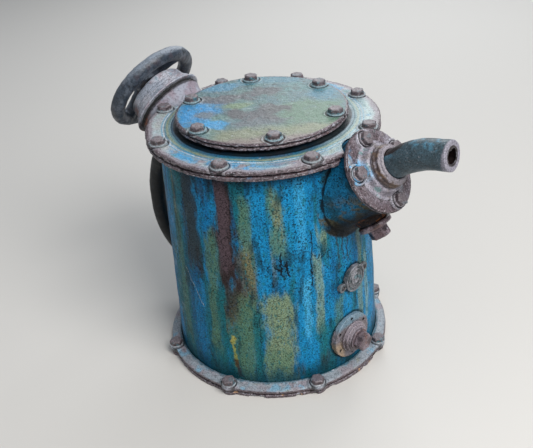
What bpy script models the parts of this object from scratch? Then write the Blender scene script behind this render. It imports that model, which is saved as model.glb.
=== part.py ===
"""Hand well pump: a flanged cast-iron vessel with a bolted lid, a bolted spout,
a handwheel valve with a by-pass pipe, a clean-out plug and a drain plug.

Metres, +Z up. The origin is the middle of the underside and +X points to the spout.
"""
from math import cos, pi, radians, sin

import bmesh
import bpy
from mathutils import Matrix, Vector

GAP = 0.0003            # space left between pieces that touch
CLEARANCE = 0.00045     # room round a casting that stands in a plate
CUT_PAST = 0.008        # how far a cutter runs past what it cuts
MERGE = 0.00001         # distance under which points are merged
ROUND = 40              # sides of the large turned pieces
MEDIUM = 24             # sides of the turned pieces on the branches
BORE_SIDES = 20         # sides of the branches' bores, the clean-out boss and the drain washer
SMALL = 8               # sides of bolts, rivets and their holes
LUG_SIDES = 10
SCREW_SIDES = 6
HEXAGON = 6
TURNING = 12            # sides of what turns in a hole, and of the hole
PIPE_ROUNDNESS = 2      # bevel resolution of the by-pass pipe and of all bores along a curve
SPOUT_ROUNDNESS = 4
SEAM_TURN = 3.0         # degrees that a bore's seams are turned off its casting's seams
COLLECTION = "hand_well_pump"

# Vessel
RING_RADIUS = 0.095             # outer radius of the two plates at the top
BARREL_FOOT_RADIUS = 0.0902     # barrel radius where its taper meets the ground
BARREL_TAPER = 0.0267           # radius lost for each metre of height
WALL = 0.005
BOTTOM_PLATE_THICKNESS = 0.003
BASE_GASKET_THICKNESS = 0.0007
BASE_FLANGE_RADIUS = 0.0995
BASE_FLANGE_EDGE = 0.0068       # height where the vertical edge ends
BASE_FLANGE_TOP = 0.0092        # height where the slope meets the barrel
BASE_FLANGE_ROUNDING = 0.0010
LUG_RADIUS = 0.0072
LUG_TOP = 0.0094
THREAD_FLOOR = 0.0008           # iron left under the threads of the bottom plate
BASE_GASKET_RADIUS = 0.094
BASE_GASKET_INNER = 0.084
RING_TOP = 0.2102
TOP_PLATE_THICKNESS = 0.0032
BODY_FLANGE_THICKNESS = 0.0032
HEAD_GASKET_THICKNESS = 0.0008
HEAD_GASKET_RADIUS = 0.084      # the gaskets lie inside the bolt circles
DECK_INNER_RADIUS = 0.057       # inner edge of the plates under the lid
MOUTH_RADIUS = 0.055
NECK_RADIUS = 0.0615
NECK_TOP = 0.2141
STEP_RADIUS = 0.077             # raised step round the neck
STEP_HEIGHT = 0.0009
STEP_SLOPE = 0.0012

# Lid
LID_RADIUS = 0.0699
LID_TOP = 0.2201
LID_COVER_THICKNESS = 0.0022
LID_GASKET_THICKNESS = 0.0004
LID_GASKET_RADIUS = 0.058
LID_GASKET_INNER = 0.048
LID_SPIGOT_RADIUS = 0.0544
LID_SPIGOT_INNER = 0.0504
LID_SPIGOT_BOTTOM = 0.208

# Bolts
BOLT_FLATS = 0.0100             # across the flats of the ring, lid and base bolts
BOLT_HEAD = 0.0036
BOLT_WASHER = 0.0070
BOLT_WASHER_HEIGHT = 0.0012
BOLT_SHANK = 0.0030
RING_BOLTS = 8
RING_BOLT_CIRCLE = 0.088
RING_BOLT_START = 18.4          # degrees
LID_BOLTS = 6
LID_BOLT_CIRCLE = 0.0619
LID_BOLT_START = 17.8
BASE_BOLTS = 8
BASE_BOLT_CIRCLE = 0.098
BASE_BOLT_START = 13.0
BASE_BOLT_HEAD = 0.0035
BASE_BOLT_WASHER = 0.0066
OUTLET_BOLT_FLATS = 0.0090
OUTLET_BOLT_HEAD = 0.0038
OUTLET_BOLT_SHANK = 0.0023
OUTLET_BOLT_CIRCLE = 0.0258
OUTLET_BOLT_WASHER = 0.0056
OUTLET_BOLT_ANGLES = (90.0, 164.0, 270.0, 16.0)     # degrees, from +Y upwards
OUTLET_BOLT_DEPTH = 0.0070      # thread in the branch end

# Outlet branch and spout, measured along the branch's sloping axis
BRANCH_ELEVATION = 34.7         # degrees
BRANCH_HEIGHT = 0.116           # where the axis crosses the vessel's own axis
BRANCH_START = 0.070
BRANCH_END = 0.1292
BRANCH_START_RADIUS = 0.0345
BRANCH_END_RADIUS = 0.0295
BRANCH_BORE = 0.025
BRANCH_END_BORE = 0.021
BRANCH_BORE_STEP = 0.116
BRANCH_BORE_SLOPE = 0.003       # length of the slope between the two bores
OUTLET_FACE = 0.1367
OUTLET_FLANGE_THICKNESS = 0.0055
OUTLET_FLANGE_RADIUS = 0.0331
OUTLET_BOSS_RADIUS = 0.0198
OUTLET_BOSS_TOP_RADIUS = 0.0178
OUTLET_BOSS_HEIGHT = 0.0052
COLLAR_RADIUS = 0.0168
COLLAR_TOP_RADIUS = 0.0158
COLLAR_HEIGHT = 0.0068
COLLAR_LIP_RADIUS = 0.0136
COLLAR_LIP_HEIGHT = 0.0020
SPOUT_RADIUS = 0.0113
SPOUT_BORE = 0.0068
SPOUT_START = 0.124             # inner end of the tube, inside the branch
SPOUT_STRAIGHT_END = 0.159
SPOUT_END_ELEVATION = 9.0
SPOUT_BEND_RADIUS = 0.066
SPOUT_TAIL = 0.011
SPOUT_BEND_STEPS = 7

# Clean-out plug, measured away from the branch axis
CLEANOUT_STATION = 0.104
CLEANOUT_BOSS_RADIUS = 0.0125
CLEANOUT_BOSS_START = 0.020
CLEANOUT_BOSS_END = 0.0345
CLEANOUT_COLLAR_RADIUS = 0.0136
CLEANOUT_COLLAR_THICKNESS = 0.0045
CLEANOUT_FLATS = 0.0146
CLEANOUT_HEAD = 0.0085
PLUG_SHANK = 0.0061
PLUG_HOLE = 0.0066
PLUG_LAP = 0.001                # how far a shank runs into its head
CLEANOUT_SHANK_END = 0.024
CLEANOUT_HOLE_START = 0.015

# Drain plug, measured outwards from the barrel
DRAIN_AZIMUTH = -7.5            # degrees
DRAIN_HEIGHT = 0.0365
DRAIN_FLANGE_RADIUS = 0.0205
DRAIN_FLANGE_FACE = 0.0030
DRAIN_FLANGE_BACK = -0.0042
DRAIN_COLLAR_RADIUS = 0.0122
DRAIN_COLLAR_TOP = 0.0083
DRAIN_STEP_RADIUS = 0.0108
DRAIN_STEP_TOP = 0.0100
DRAIN_WASHER_RADIUS = 0.0095
DRAIN_WASHER_THICKNESS = 0.0012
DRAIN_FLATS = 0.0142
DRAIN_HEAD = 0.0065
DRAIN_SHANK_END = -0.0040
DRAIN_HOLE_START = -0.015
DRAIN_SCREW_CIRCLE = 0.0168
DRAIN_SCREW_COUNT = 6
DRAIN_SCREW_START = 30.0        # degrees
DRAIN_SCREW_HOLE = 0.0013
DRAIN_SCREW_FLOOR = 0.0012

# Badge plate
BADGE_AZIMUTH = -3.0            # degrees
BADGE_HEIGHT = 0.0905
BADGE_TILT = 12.0               # degrees, the +Y ear is the higher one
BADGE_RADIUS = 0.0118
BADGE_FACE = 0.0026
BADGE_BACK = -0.0040
BADGE_EAR_OFFSET = 0.0148
BADGE_EAR_RADIUS = 0.0040
BADGE_EAR_FACE = 0.0016
RIVET_RADIUS = 0.0020
RIVET_SHANK = 0.0010
RIVET_SHANK_LENGTH = 0.0010
RIVET_HEAD = 0.0008
CLEAR_TOP = 0.130               # top of the stretch of barrel behind the badge and the drain

# Valve opposite the spout, measured along its sloping axis
VALVE_ELEVATION = 34.6          # degrees
VALVE_HEIGHT = 0.1255
STUB_START = 0.080
STUB_RADIUS = 0.0285
STUB_FLARE_START = 0.116
STUB_END = 0.1295
STUB_END_RADIUS = 0.0322
STUB_BORE = 0.024
VALVE_GASKET_RADIUS = 0.0308
VALVE_GASKET_THICKNESS = 0.0020
LIP_RADIUS = 0.0342
LIP_TOP_RADIUS = 0.0310
LIP_HEIGHT = 0.0066
LIP_EDGE = 0.0022               # height of the lip's upright edge
BONNET_RADIUS = 0.0284
BONNET_TOP_RADIUS = 0.0270
BONNET_TOP = 0.1500
BONNET_CAP = 0.0060
BONNET_SKIRT = 0.0045
PACKING_FLOOR = 0.0015
SEAT_START = 0.1020
SEAT_THICKNESS = 0.0040
SEAT_BORE = 0.0130
DISC_RADIUS = 0.0165
DISC_THICKNESS = 0.0045
DISC_CHAMFER = 0.002
STEM_RADIUS = 0.0035
STEM_END = 0.1780
PACKING_RADIUS = 0.0062
GLAND_FLATS = 0.0150
GLAND_TOP = 0.1560
WHEEL_STATION = 0.1548
WHEEL_RADIUS = 0.0388
WHEEL_TUBE = 0.0063
WHEEL_SPOKES = 4
WHEEL_SPOKE_START = 117.0       # degrees, from -Y upwards
WHEEL_SPOKE_RADIUS = 0.0042
HUB_RADIUS = 0.0115
HUB_BOTTOM = 0.1572
HUB_TOP = 0.1660
WHEEL_NUT_FLATS = 0.0130
WHEEL_NUT_HEIGHT = 0.0090

# By-pass pipe behind the vessel, which is also its carrying handle
PIPE_RADIUS = 0.0080
PIPE_BORE = 0.0052
PIPE_STATION = 0.1185           # where it leaves the valve's stub
PIPE_DROP = 0.0270              # how far below the valve's axis it starts
PIPE_STEPS = 2                  # steps between two points of its route
PIPE_ROUTE = (                  # X and Z of the route between its two ends
    (-0.1245, 0.1520),
    (-0.1335, 0.1360),
    (-0.1392, 0.1180),
    (-0.1415, 0.0990),
    (-0.1408, 0.0800),
    (-0.1350, 0.0625),
    (-0.1235, 0.0490),
    (-0.1080, 0.0405),
)
PIPE_FOOT_HEIGHT = 0.0370
PIPE_FOOT_LEAD = (-0.009, 0.0006)       # from its lower end to the point before it

# Heights that follow from the thicknesses
BASE_FLANGE_BOTTOM = BOTTOM_PLATE_THICKNESS + BASE_GASKET_THICKNESS + 2 * GAP
TOP_RING_BOTTOM = RING_TOP - TOP_PLATE_THICKNESS
HEAD_GASKET_BOTTOM = TOP_RING_BOTTOM - GAP - HEAD_GASKET_THICKNESS
BODY_FLANGE_TOP = HEAD_GASKET_BOTTOM - GAP
BODY_FLANGE_BOTTOM = BODY_FLANGE_TOP - BODY_FLANGE_THICKNESS
BARREL_TOP = BODY_FLANGE_BOTTOM - GAP
LID_COVER_BOTTOM = LID_TOP - LID_COVER_THICKNESS
LID_GASKET_TOP = LID_COVER_BOTTOM - GAP
LID_GASKET_BOTTOM = LID_GASKET_TOP - LID_GASKET_THICKNESS
LID_FLANGE_TOP = LID_GASKET_BOTTOM - GAP
LID_FLANGE_BOTTOM = NECK_TOP + GAP
OUTLET_BACK = OUTLET_FACE - OUTLET_FLANGE_THICKNESS
COLLAR_START = OUTLET_FACE + OUTLET_BOSS_HEIGHT + GAP
VALVE_GASKET_START = STUB_END + GAP
LIP_START = VALVE_GASKET_START + VALVE_GASKET_THICKNESS + GAP
LIP_END = LIP_START + LIP_HEIGHT
BONNET_START = LIP_END + GAP
DISC_START = SEAT_START + SEAT_THICKNESS + GAP
GLAND_START = BONNET_TOP + GAP

PAINT = ((0.03, 0.25, 0.42, 1.0), 0.55, 0.0)
RUSTY_PAINT = ((0.22, 0.33, 0.37, 1.0), 0.6, 0.0)
IRON = ((0.24, 0.20, 0.22, 1.0), 0.6, 0.7)
DARK_IRON = ((0.06, 0.08, 0.10, 1.0), 0.5, 0.6)
SPOUT_PAINT = ((0.09, 0.15, 0.16, 1.0), 0.55, 0.0)
RUBBER = ((0.02, 0.02, 0.02, 1.0), 0.8, 0.0)
BRASS = ((0.45, 0.33, 0.13, 1.0), 0.4, 1.0)
STEEL = ((0.40, 0.40, 0.42, 1.0), 0.35, 1.0)


def clear_scene():
    for obj in list(bpy.data.objects):
        bpy.data.objects.remove(obj, do_unlink=True)


def make_collections():
    parts = bpy.data.collections.new(COLLECTION)
    cutters = bpy.data.collections.new("cutters")
    for collection in (parts, cutters):
        bpy.context.scene.collection.children.link(collection)
    return parts, cutters


def make_material(name, look):
    colour, roughness, metallic = look
    material = bpy.data.materials.new(name)
    material.use_nodes = True
    shader = material.node_tree.nodes["Principled BSDF"]
    shader.inputs["Base Color"].default_value = colour
    shader.inputs["Roughness"].default_value = roughness
    shader.inputs["Metallic"].default_value = metallic
    material.diffuse_color = colour
    return material


def axis_frame(origin, along, side):
    """A frame with its Z axis along a piece's axis and its X axis to one side."""
    z_axis = Vector(along).normalized()
    y_axis = z_axis.cross(Vector(side)).normalized()
    x_axis = y_axis.cross(z_axis)
    rotation = Matrix((x_axis, y_axis, z_axis)).transposed().to_4x4()
    return Matrix.Translation(Vector(origin)) @ rotation


def barrel_radius(height):
    return BARREL_FOOT_RADIUS - BARREL_TAPER * height


def radial_frame(azimuth, height):
    """A frame on the barrel's surface: Z outwards, X level towards +Y, Y up."""
    outward = Vector((cos(radians(azimuth)), sin(radians(azimuth)), 0.0))
    level = Vector((-outward.y, outward.x, 0.0))
    origin = outward * barrel_radius(height) + Vector((0.0, 0.0, height))
    return axis_frame(origin, outward, level)


def branch_frame():
    slope = radians(BRANCH_ELEVATION)
    return axis_frame((0.0, 0.0, BRANCH_HEIGHT), (cos(slope), 0.0, sin(slope)), (0.0, 1.0, 0.0))


def cleanout_frame():
    """Z points out of the branch's underside, from the branch's axis."""
    slope = radians(BRANCH_ELEVATION)
    along = Vector((cos(slope), 0.0, sin(slope)))
    origin = Vector((0.0, 0.0, BRANCH_HEIGHT)) + along * CLEANOUT_STATION
    return axis_frame(origin, (sin(slope), 0.0, -cos(slope)), (0.0, 1.0, 0.0))


def valve_frame():
    """Z runs up the valve's axis, X is level towards -Y and Y points up."""
    slope = radians(VALVE_ELEVATION)
    along = (-cos(slope), 0.0, sin(slope))
    return axis_frame((0.0, 0.0, VALVE_HEIGHT), along, (0.0, -1.0, 0.0))


def add_object(name, mesh, frame, collection, look=None):
    obj = bpy.data.objects.new(name, mesh)
    obj.matrix_world = frame
    collection.objects.link(obj)
    if look is None:
        obj.hide_render = True
        obj.display_type = "WIRE"
    elif not mesh.materials:
        mesh.materials.append(make_material(name, look))
    return obj


def smooth(mesh, angle=35.0):
    mesh.shade_smooth()
    mesh.set_sharp_from_angle(angle=radians(angle))


def turned(name, outline, frame, collection, look=None, sides=ROUND):
    """Turn an outline of (radius, height) points, which runs down its outer side."""
    mesh = bpy.data.meshes.new(name)
    points = [(radius, 0.0, height) for radius, height in outline]
    edges = [(i, i + 1) for i in range(len(points) - 1)]
    on_axis = outline[0][0] == 0.0 and outline[-1][0] == 0.0
    if not on_axis:
        edges.append((len(points) - 1, 0))
    mesh.from_pydata(points, edges, [])
    obj = add_object(name, mesh, frame, collection, look)
    screw = obj.modifiers.new("turn", "SCREW")
    screw.angle = 2.0 * pi
    screw.steps = sides
    screw.render_steps = sides
    screw.use_merge_vertices = True
    screw.merge_threshold = MERGE
    screw.use_smooth_shade = False
    return obj


def ring_outline(outer, inner, bottom, top):
    return [(outer, top), (outer, bottom), (inner, bottom), (inner, top)]


def rod_outline(radius, bottom, top):
    return [(0.0, top), (radius, top), (radius, bottom), (0.0, bottom)]


def rods(name, places, radius, bottom, top, frame, cutters, sides=SMALL):
    """One cutter made of parallel rods at the given (x, y) places."""
    mesh = bpy.data.meshes.new(name)
    shape = bmesh.new()
    for x, y in places:
        middle = Matrix.Translation((x, y, (bottom + top) / 2))
        bmesh.ops.create_cone(
            shape, cap_ends=True, segments=sides, radius1=radius, radius2=radius,
            depth=top - bottom, matrix=middle,
        )
    shape.to_mesh(mesh)
    shape.free()
    return add_object(name, mesh, frame, cutters)


def off_seam(frame):
    """The frame turned a little about its axis, so that no two seams coincide."""
    return frame @ Matrix.Rotation(radians(SEAM_TURN), 4, "Z")


def boolean(obj, operand, operation="DIFFERENCE"):
    modifier = obj.modifiers.new(operand.name, "BOOLEAN")
    modifier.operation = operation
    modifier.solver = "EXACT"
    modifier.object = operand
    return obj


def weld(obj):
    """Join the points that rounding leaves a hair apart along the cuts."""
    modifier = obj.modifiers.new("weld", "WELD")
    modifier.merge_threshold = MERGE
    return obj


def circle_places(radius, start, count):
    angles = [radians(start + 360.0 * k / count) for k in range(count)]
    return [(radius * cos(a), radius * sin(a)) for a in angles]


def final_mesh(obj, name):
    """The mesh of an object with its modifiers, as a new mesh."""
    graph = bpy.context.evaluated_depsgraph_get()
    mesh = bpy.data.meshes.new_from_object(obj.evaluated_get(graph))
    mesh.name = name
    return mesh


def hexagon(name, flats, bottom, top, frame, collection, look=None):
    """A prism with the given width across its flats."""
    mesh = bpy.data.meshes.new(name)
    shape = bmesh.new()
    corner = flats / 2 / cos(pi / HEXAGON)
    middle = Matrix.Translation((0.0, 0.0, (bottom + top) / 2))
    bmesh.ops.create_cone(
        shape, cap_ends=True, segments=HEXAGON, radius1=corner, radius2=corner,
        depth=top - bottom, matrix=middle,
    )
    shape.to_mesh(mesh)
    shape.free()
    return add_object(name, mesh, frame, collection, look)


def bolt_mesh(name, flats, head, shank_radius, shank_length, washer_radius, cutters):
    """Hexagon head, washer face and shank in one; the seat is at height zero."""
    still = Matrix.Identity(4)
    top = BOLT_WASHER_HEIGHT
    outline = [
        (0.0, top), (washer_radius, top), (washer_radius, 0.0),
        (shank_radius, 0.0), (shank_radius, -shank_length), (0.0, -shank_length),
    ]
    blank = turned(name + "_blank", outline, still, cutters, sides=SMALL)
    head_bottom = top / 2
    hexagon_head = hexagon(name + "_head", flats, head_bottom, top + head, still, cutters)
    boolean(blank, hexagon_head, "UNION")
    mesh = final_mesh(blank, name)
    mesh.materials.clear()
    for used in (blank, hexagon_head):
        bpy.data.objects.remove(used, do_unlink=True)
    return mesh


def place_bolts(prefix, mesh, places, seat, frame, collection):
    for number, (x, y) in enumerate(places, start=1):
        spot = frame @ Matrix.Translation((x, y, seat))
        add_object(f"{prefix}_{number}", mesh, spot, collection, IRON)


def tube_mesh(name, points, radius, sides_level, collection):
    """A closed tube along a polyline, made from a bevelled curve."""
    curve = bpy.data.curves.new(name, "CURVE")
    curve.dimensions = "3D"
    curve.bevel_depth = radius
    curve.bevel_resolution = sides_level
    curve.use_fill_caps = True
    spline = curve.splines.new("POLY")
    spline.points.add(len(points) - 1)
    for spot, point in zip(spline.points, points):
        spot.co = (point[0], point[1], point[2], 1.0)
    guide = bpy.data.objects.new(name + "_guide", curve)
    collection.objects.link(guide)
    mesh = final_mesh(guide, name)
    bpy.data.objects.remove(guide, do_unlink=True)
    shape = bmesh.new()
    shape.from_mesh(mesh)
    bmesh.ops.remove_doubles(shape, verts=shape.verts, dist=MERGE)
    bmesh.ops.recalc_face_normals(shape, faces=shape.faces)
    shape.to_mesh(mesh)
    shape.free()
    return mesh


def smooth_route(points, steps):
    """Points on a Catmull-Rom curve through the given points."""
    ends = [points[0] * 2 - points[1]] + list(points) + [points[-1] * 2 - points[-2]]
    route = []
    for a, b, c, d in zip(ends, ends[1:], ends[2:], ends[3:]):
        for step in range(steps):
            t = step / steps
            route.append(
                b + (c - a) * (t / 2)
                + (a * 2 - b * 5 + c * 4 - d) * (t * t / 2)
                + (b * 3 - a - c * 3 + d) * (t * t * t / 2)
            )
    route.append(points[-1])
    return route


def barrel_outline(grow, bottom, top):
    """A solid of the barrel's outer shape, grown by a clearance."""
    return [
        (0.0, top), (barrel_radius(top) + grow, top),
        (barrel_radius(bottom) + grow, bottom), (0.0, bottom),
    ]


def branch_outline(grow):
    return [
        (0.0, BRANCH_END), (BRANCH_END_RADIUS + grow, BRANCH_END),
        (BRANCH_START_RADIUS + grow, BRANCH_START), (0.0, BRANCH_START),
    ]


def stub_outline(grow):
    return [
        (0.0, STUB_END), (STUB_END_RADIUS + grow, STUB_END),
        (STUB_RADIUS + grow, STUB_FLARE_START),
        (STUB_RADIUS + grow, STUB_START), (0.0, STUB_START),
    ]


def outlet_bolt_places():
    angles = [radians(a) for a in OUTLET_BOLT_ANGLES]
    return [(OUTLET_BOLT_CIRCLE * cos(a), OUTLET_BOLT_CIRCLE * sin(a)) for a in angles]


def pipe_points():
    """The by-pass pipe's centre line, from the valve's stub to the barrel."""
    slope = radians(VALVE_ELEVATION)
    along = Vector((-cos(slope), 0.0, sin(slope)))
    down = Vector((-sin(slope), 0.0, -cos(slope)))
    start = Vector((0.0, 0.0, VALVE_HEIGHT)) + along * PIPE_STATION + down * PIPE_DROP
    foot = Vector((-barrel_radius(PIPE_FOOT_HEIGHT) + WALL / 2, 0.0, PIPE_FOOT_HEIGHT))
    middle = [Vector((x, 0.0, z)) for x, z in PIPE_ROUTE]
    before_foot = foot + Vector((PIPE_FOOT_LEAD[0], 0.0, PIPE_FOOT_LEAD[1]))
    return smooth_route([start] + middle + [before_foot, foot], PIPE_STEPS)


def spout_points():
    """The spout's centre line in its own plane: straight, a bend and a short tail."""
    slope = radians(BRANCH_ELEVATION)
    end_slope = radians(SPOUT_END_ELEVATION)
    along = Vector((cos(slope), 0.0, sin(slope)))
    foot = Vector((0.0, 0.0, BRANCH_HEIGHT))
    bend_start = foot + along * SPOUT_STRAIGHT_END
    centre = bend_start + Vector((sin(slope), 0.0, -cos(slope))) * SPOUT_BEND_RADIUS
    points = [foot + along * SPOUT_START, foot + along * (SPOUT_START + SPOUT_STRAIGHT_END) / 2]
    for step in range(SPOUT_BEND_STEPS + 1):
        angle = slope + (end_slope - slope) * step / SPOUT_BEND_STEPS
        points.append(centre + Vector((-sin(angle), 0.0, cos(angle))) * SPOUT_BEND_RADIUS)
    points.append(points[-1] + Vector((cos(end_slope), 0.0, sin(end_slope))) * SPOUT_TAIL)
    return points


def beyond_ends(points, extra):
    """The same line, made longer at both ends."""
    first = points[0] + (points[0] - points[1]).normalized() * extra
    last = points[-1] + (points[-1] - points[-2]).normalized() * extra
    return [first] + points + [last]


def make_body_shell(parts, cutters):
    """The barrel with its outlet branch, valve stub and clean-out boss, bored out."""
    world = Matrix.Identity(4)
    outline = barrel_outline(0.0, BASE_FLANGE_BOTTOM, BARREL_TOP)
    shell = turned("body_shell", outline, world, parts, PAINT)
    boolean(shell, turned("branch_solid", branch_outline(0.0), off_seam(branch_frame()), cutters,
                          sides=MEDIUM), "UNION")
    boolean(shell, turned("stub_solid", stub_outline(0.0), off_seam(valve_frame()), cutters,
                          sides=MEDIUM), "UNION")
    boss = rod_outline(CLEANOUT_BOSS_RADIUS, CLEANOUT_BOSS_START, CLEANOUT_BOSS_END)
    boolean(shell, turned("boss_solid", boss, cleanout_frame(), cutters, sides=BORE_SIDES),
            "UNION")

    inside = barrel_outline(-WALL, BASE_FLANGE_BOTTOM - WALL, BODY_FLANGE_BOTTOM)
    boolean(shell, turned("barrel_inside", inside, world, cutters))
    bore = [
        (0.0, BRANCH_END + WALL), (BRANCH_END_BORE, BRANCH_END + WALL),
        (BRANCH_END_BORE, BRANCH_BORE_STEP), (BRANCH_BORE, BRANCH_BORE_STEP - BRANCH_BORE_SLOPE),
        (BRANCH_BORE, BRANCH_START - WALL), (0.0, BRANCH_START - WALL),
    ]
    bore_frame = off_seam(off_seam(branch_frame()))
    boolean(shell, turned("branch_bore", bore, bore_frame, cutters, sides=BORE_SIDES))
    stub_bore = rod_outline(STUB_BORE, STUB_START - WALL, STUB_END + WALL)
    bore_frame = off_seam(off_seam(valve_frame()))
    boolean(shell, turned("stub_bore", stub_bore, bore_frame, cutters, sides=BORE_SIDES))

    boolean(shell, rods("outlet_threads", outlet_bolt_places(), OUTLET_BOLT_SHANK + GAP,
                        BRANCH_END - OUTLET_BOLT_DEPTH, BRANCH_END + WALL,
                        branch_frame(), cutters))
    boolean(shell, rods("cleanout_thread", [(0.0, 0.0)], PLUG_HOLE, CLEANOUT_HOLE_START,
                        CLEANOUT_BOSS_END + WALL, cleanout_frame(), cutters, TURNING))
    boolean(shell, rods("drain_thread", [(0.0, 0.0)], PLUG_HOLE, DRAIN_HOLE_START, WALL,
                        radial_frame(DRAIN_AZIMUTH, DRAIN_HEIGHT), cutters, TURNING))
    points = beyond_ends(pipe_points(), CUT_PAST)
    hole = tube_mesh("pipe_holes", points, PIPE_RADIUS + GAP, PIPE_ROUNDNESS, cutters)
    boolean(shell, add_object("pipe_holes", hole, world, cutters))
    weld(shell)


def make_base(parts, cutters):
    world = Matrix.Identity(4)
    places = circle_places(BASE_BOLT_CIRCLE, BASE_BOLT_START, BASE_BOLTS)
    hole = BOLT_SHANK + GAP

    plate = turned("bottom_plate", rod_outline(BASE_FLANGE_RADIUS, 0.0, BOTTOM_PLATE_THICKNESS),
                   world, parts, IRON)
    lugs = rods("plate_lugs", places, LUG_RADIUS, 0.0, BOTTOM_PLATE_THICKNESS, world, cutters,
                LUG_SIDES)
    boolean(plate, lugs, "UNION")
    threads = rods("plate_threads", places, hole, THREAD_FLOOR,
                   BOTTOM_PLATE_THICKNESS + CUT_PAST, world, cutters)
    boolean(plate, threads)

    gasket_bottom = BOTTOM_PLATE_THICKNESS + GAP
    gasket_top = gasket_bottom + BASE_GASKET_THICKNESS
    turned("base_gasket", ring_outline(BASE_GASKET_RADIUS, BASE_GASKET_INNER,
                                       gasket_bottom, gasket_top), world, parts, RUBBER)

    inner = barrel_radius(BASE_FLANGE_BOTTOM) + CLEARANCE
    outline = [
        (inner + BASE_FLANGE_ROUNDING, BASE_FLANGE_TOP),
        (BASE_FLANGE_RADIUS - BASE_FLANGE_ROUNDING, BASE_FLANGE_EDGE),
        (BASE_FLANGE_RADIUS, BASE_FLANGE_EDGE - BASE_FLANGE_ROUNDING),
        (BASE_FLANGE_RADIUS, BASE_FLANGE_BOTTOM), (inner, BASE_FLANGE_BOTTOM),
        (inner, BASE_FLANGE_TOP),
    ]
    flange = turned("base_flange", outline, world, parts, RUSTY_PAINT)
    flange_lugs = rods("flange_lugs", places, LUG_RADIUS, BASE_FLANGE_BOTTOM, LUG_TOP,
                       world, cutters, LUG_SIDES)
    boolean(flange, flange_lugs, "UNION")
    boolean(flange, rods("base_holes", places, hole, 0.0, LUG_TOP + CUT_PAST, world, cutters))
    depth = LUG_TOP - THREAD_FLOOR
    mesh = bolt_mesh("base_bolt", BOLT_FLATS, BASE_BOLT_HEAD, BOLT_SHANK, depth,
                     BASE_BOLT_WASHER, cutters)
    place_bolts("base_bolt", mesh, places, LUG_TOP + GAP, world, parts)


def make_plate_cutters(cutters):
    """Room in the top plates for the branch, the outlet flange and the valve stub."""
    branch = branch_outline(CLEARANCE)
    room = OUTLET_FLANGE_RADIUS + CLEARANCE
    branch[0:2] = [
        (0.0, OUTLET_FACE + CUT_PAST), (room, OUTLET_FACE + CUT_PAST), (room, BRANCH_END),
        (BRANCH_END_RADIUS + CLEARANCE, BRANCH_END),
    ]
    room_for_branch = turned("branch_room", branch, off_seam(branch_frame()), cutters,
                             sides=MEDIUM)
    stub = stub_outline(CLEARANCE)
    stub[0:1] = [(0.0, STUB_END + CUT_PAST), (STUB_END_RADIUS + CLEARANCE, STUB_END + CUT_PAST)]
    room_for_stub = turned("stub_room", stub, off_seam(valve_frame()), cutters, sides=MEDIUM)
    return room_for_branch, room_for_stub


def make_head(parts, cutters):
    """The two plates at the top of the barrel with the gasket between them."""
    world = Matrix.Identity(4)
    places = circle_places(RING_BOLT_CIRCLE, RING_BOLT_START, RING_BOLTS)
    holes = rods("ring_holes", places, BOLT_SHANK + GAP, BODY_FLANGE_BOTTOM - CUT_PAST,
                 RING_TOP + CUT_PAST, world, cutters)
    body_flange = turned("body_flange", ring_outline(RING_RADIUS, DECK_INNER_RADIUS,
                                                     BODY_FLANGE_BOTTOM, BODY_FLANGE_TOP),
                         world, parts, RUSTY_PAINT)
    gasket = turned("head_gasket", ring_outline(HEAD_GASKET_RADIUS, DECK_INNER_RADIUS,
                                                HEAD_GASKET_BOTTOM,
                                                HEAD_GASKET_BOTTOM + HEAD_GASKET_THICKNESS),
                    world, parts, RUBBER)
    outline = [
        (RING_RADIUS, RING_TOP), (RING_RADIUS, TOP_RING_BOTTOM),
        (MOUTH_RADIUS, TOP_RING_BOTTOM), (MOUTH_RADIUS, NECK_TOP),
        (NECK_RADIUS, NECK_TOP), (NECK_RADIUS, RING_TOP + STEP_HEIGHT),
        (STEP_RADIUS, RING_TOP + STEP_HEIGHT), (STEP_RADIUS + STEP_SLOPE, RING_TOP),
    ]
    top_ring = turned("top_ring", outline, world, parts, RUSTY_PAINT)
    rooms = make_plate_cutters(cutters)
    for plate in (body_flange, gasket, top_ring):
        for room in rooms:
            boolean(plate, room)
    for plate in (body_flange, top_ring):
        boolean(plate, holes)
    length = RING_TOP + GAP - BODY_FLANGE_BOTTOM
    mesh = bolt_mesh("ring_bolt", BOLT_FLATS, BOLT_HEAD, BOLT_SHANK, length, BOLT_WASHER, cutters)
    place_bolts("ring_bolt", mesh, places, RING_TOP + GAP, world, parts)


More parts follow.
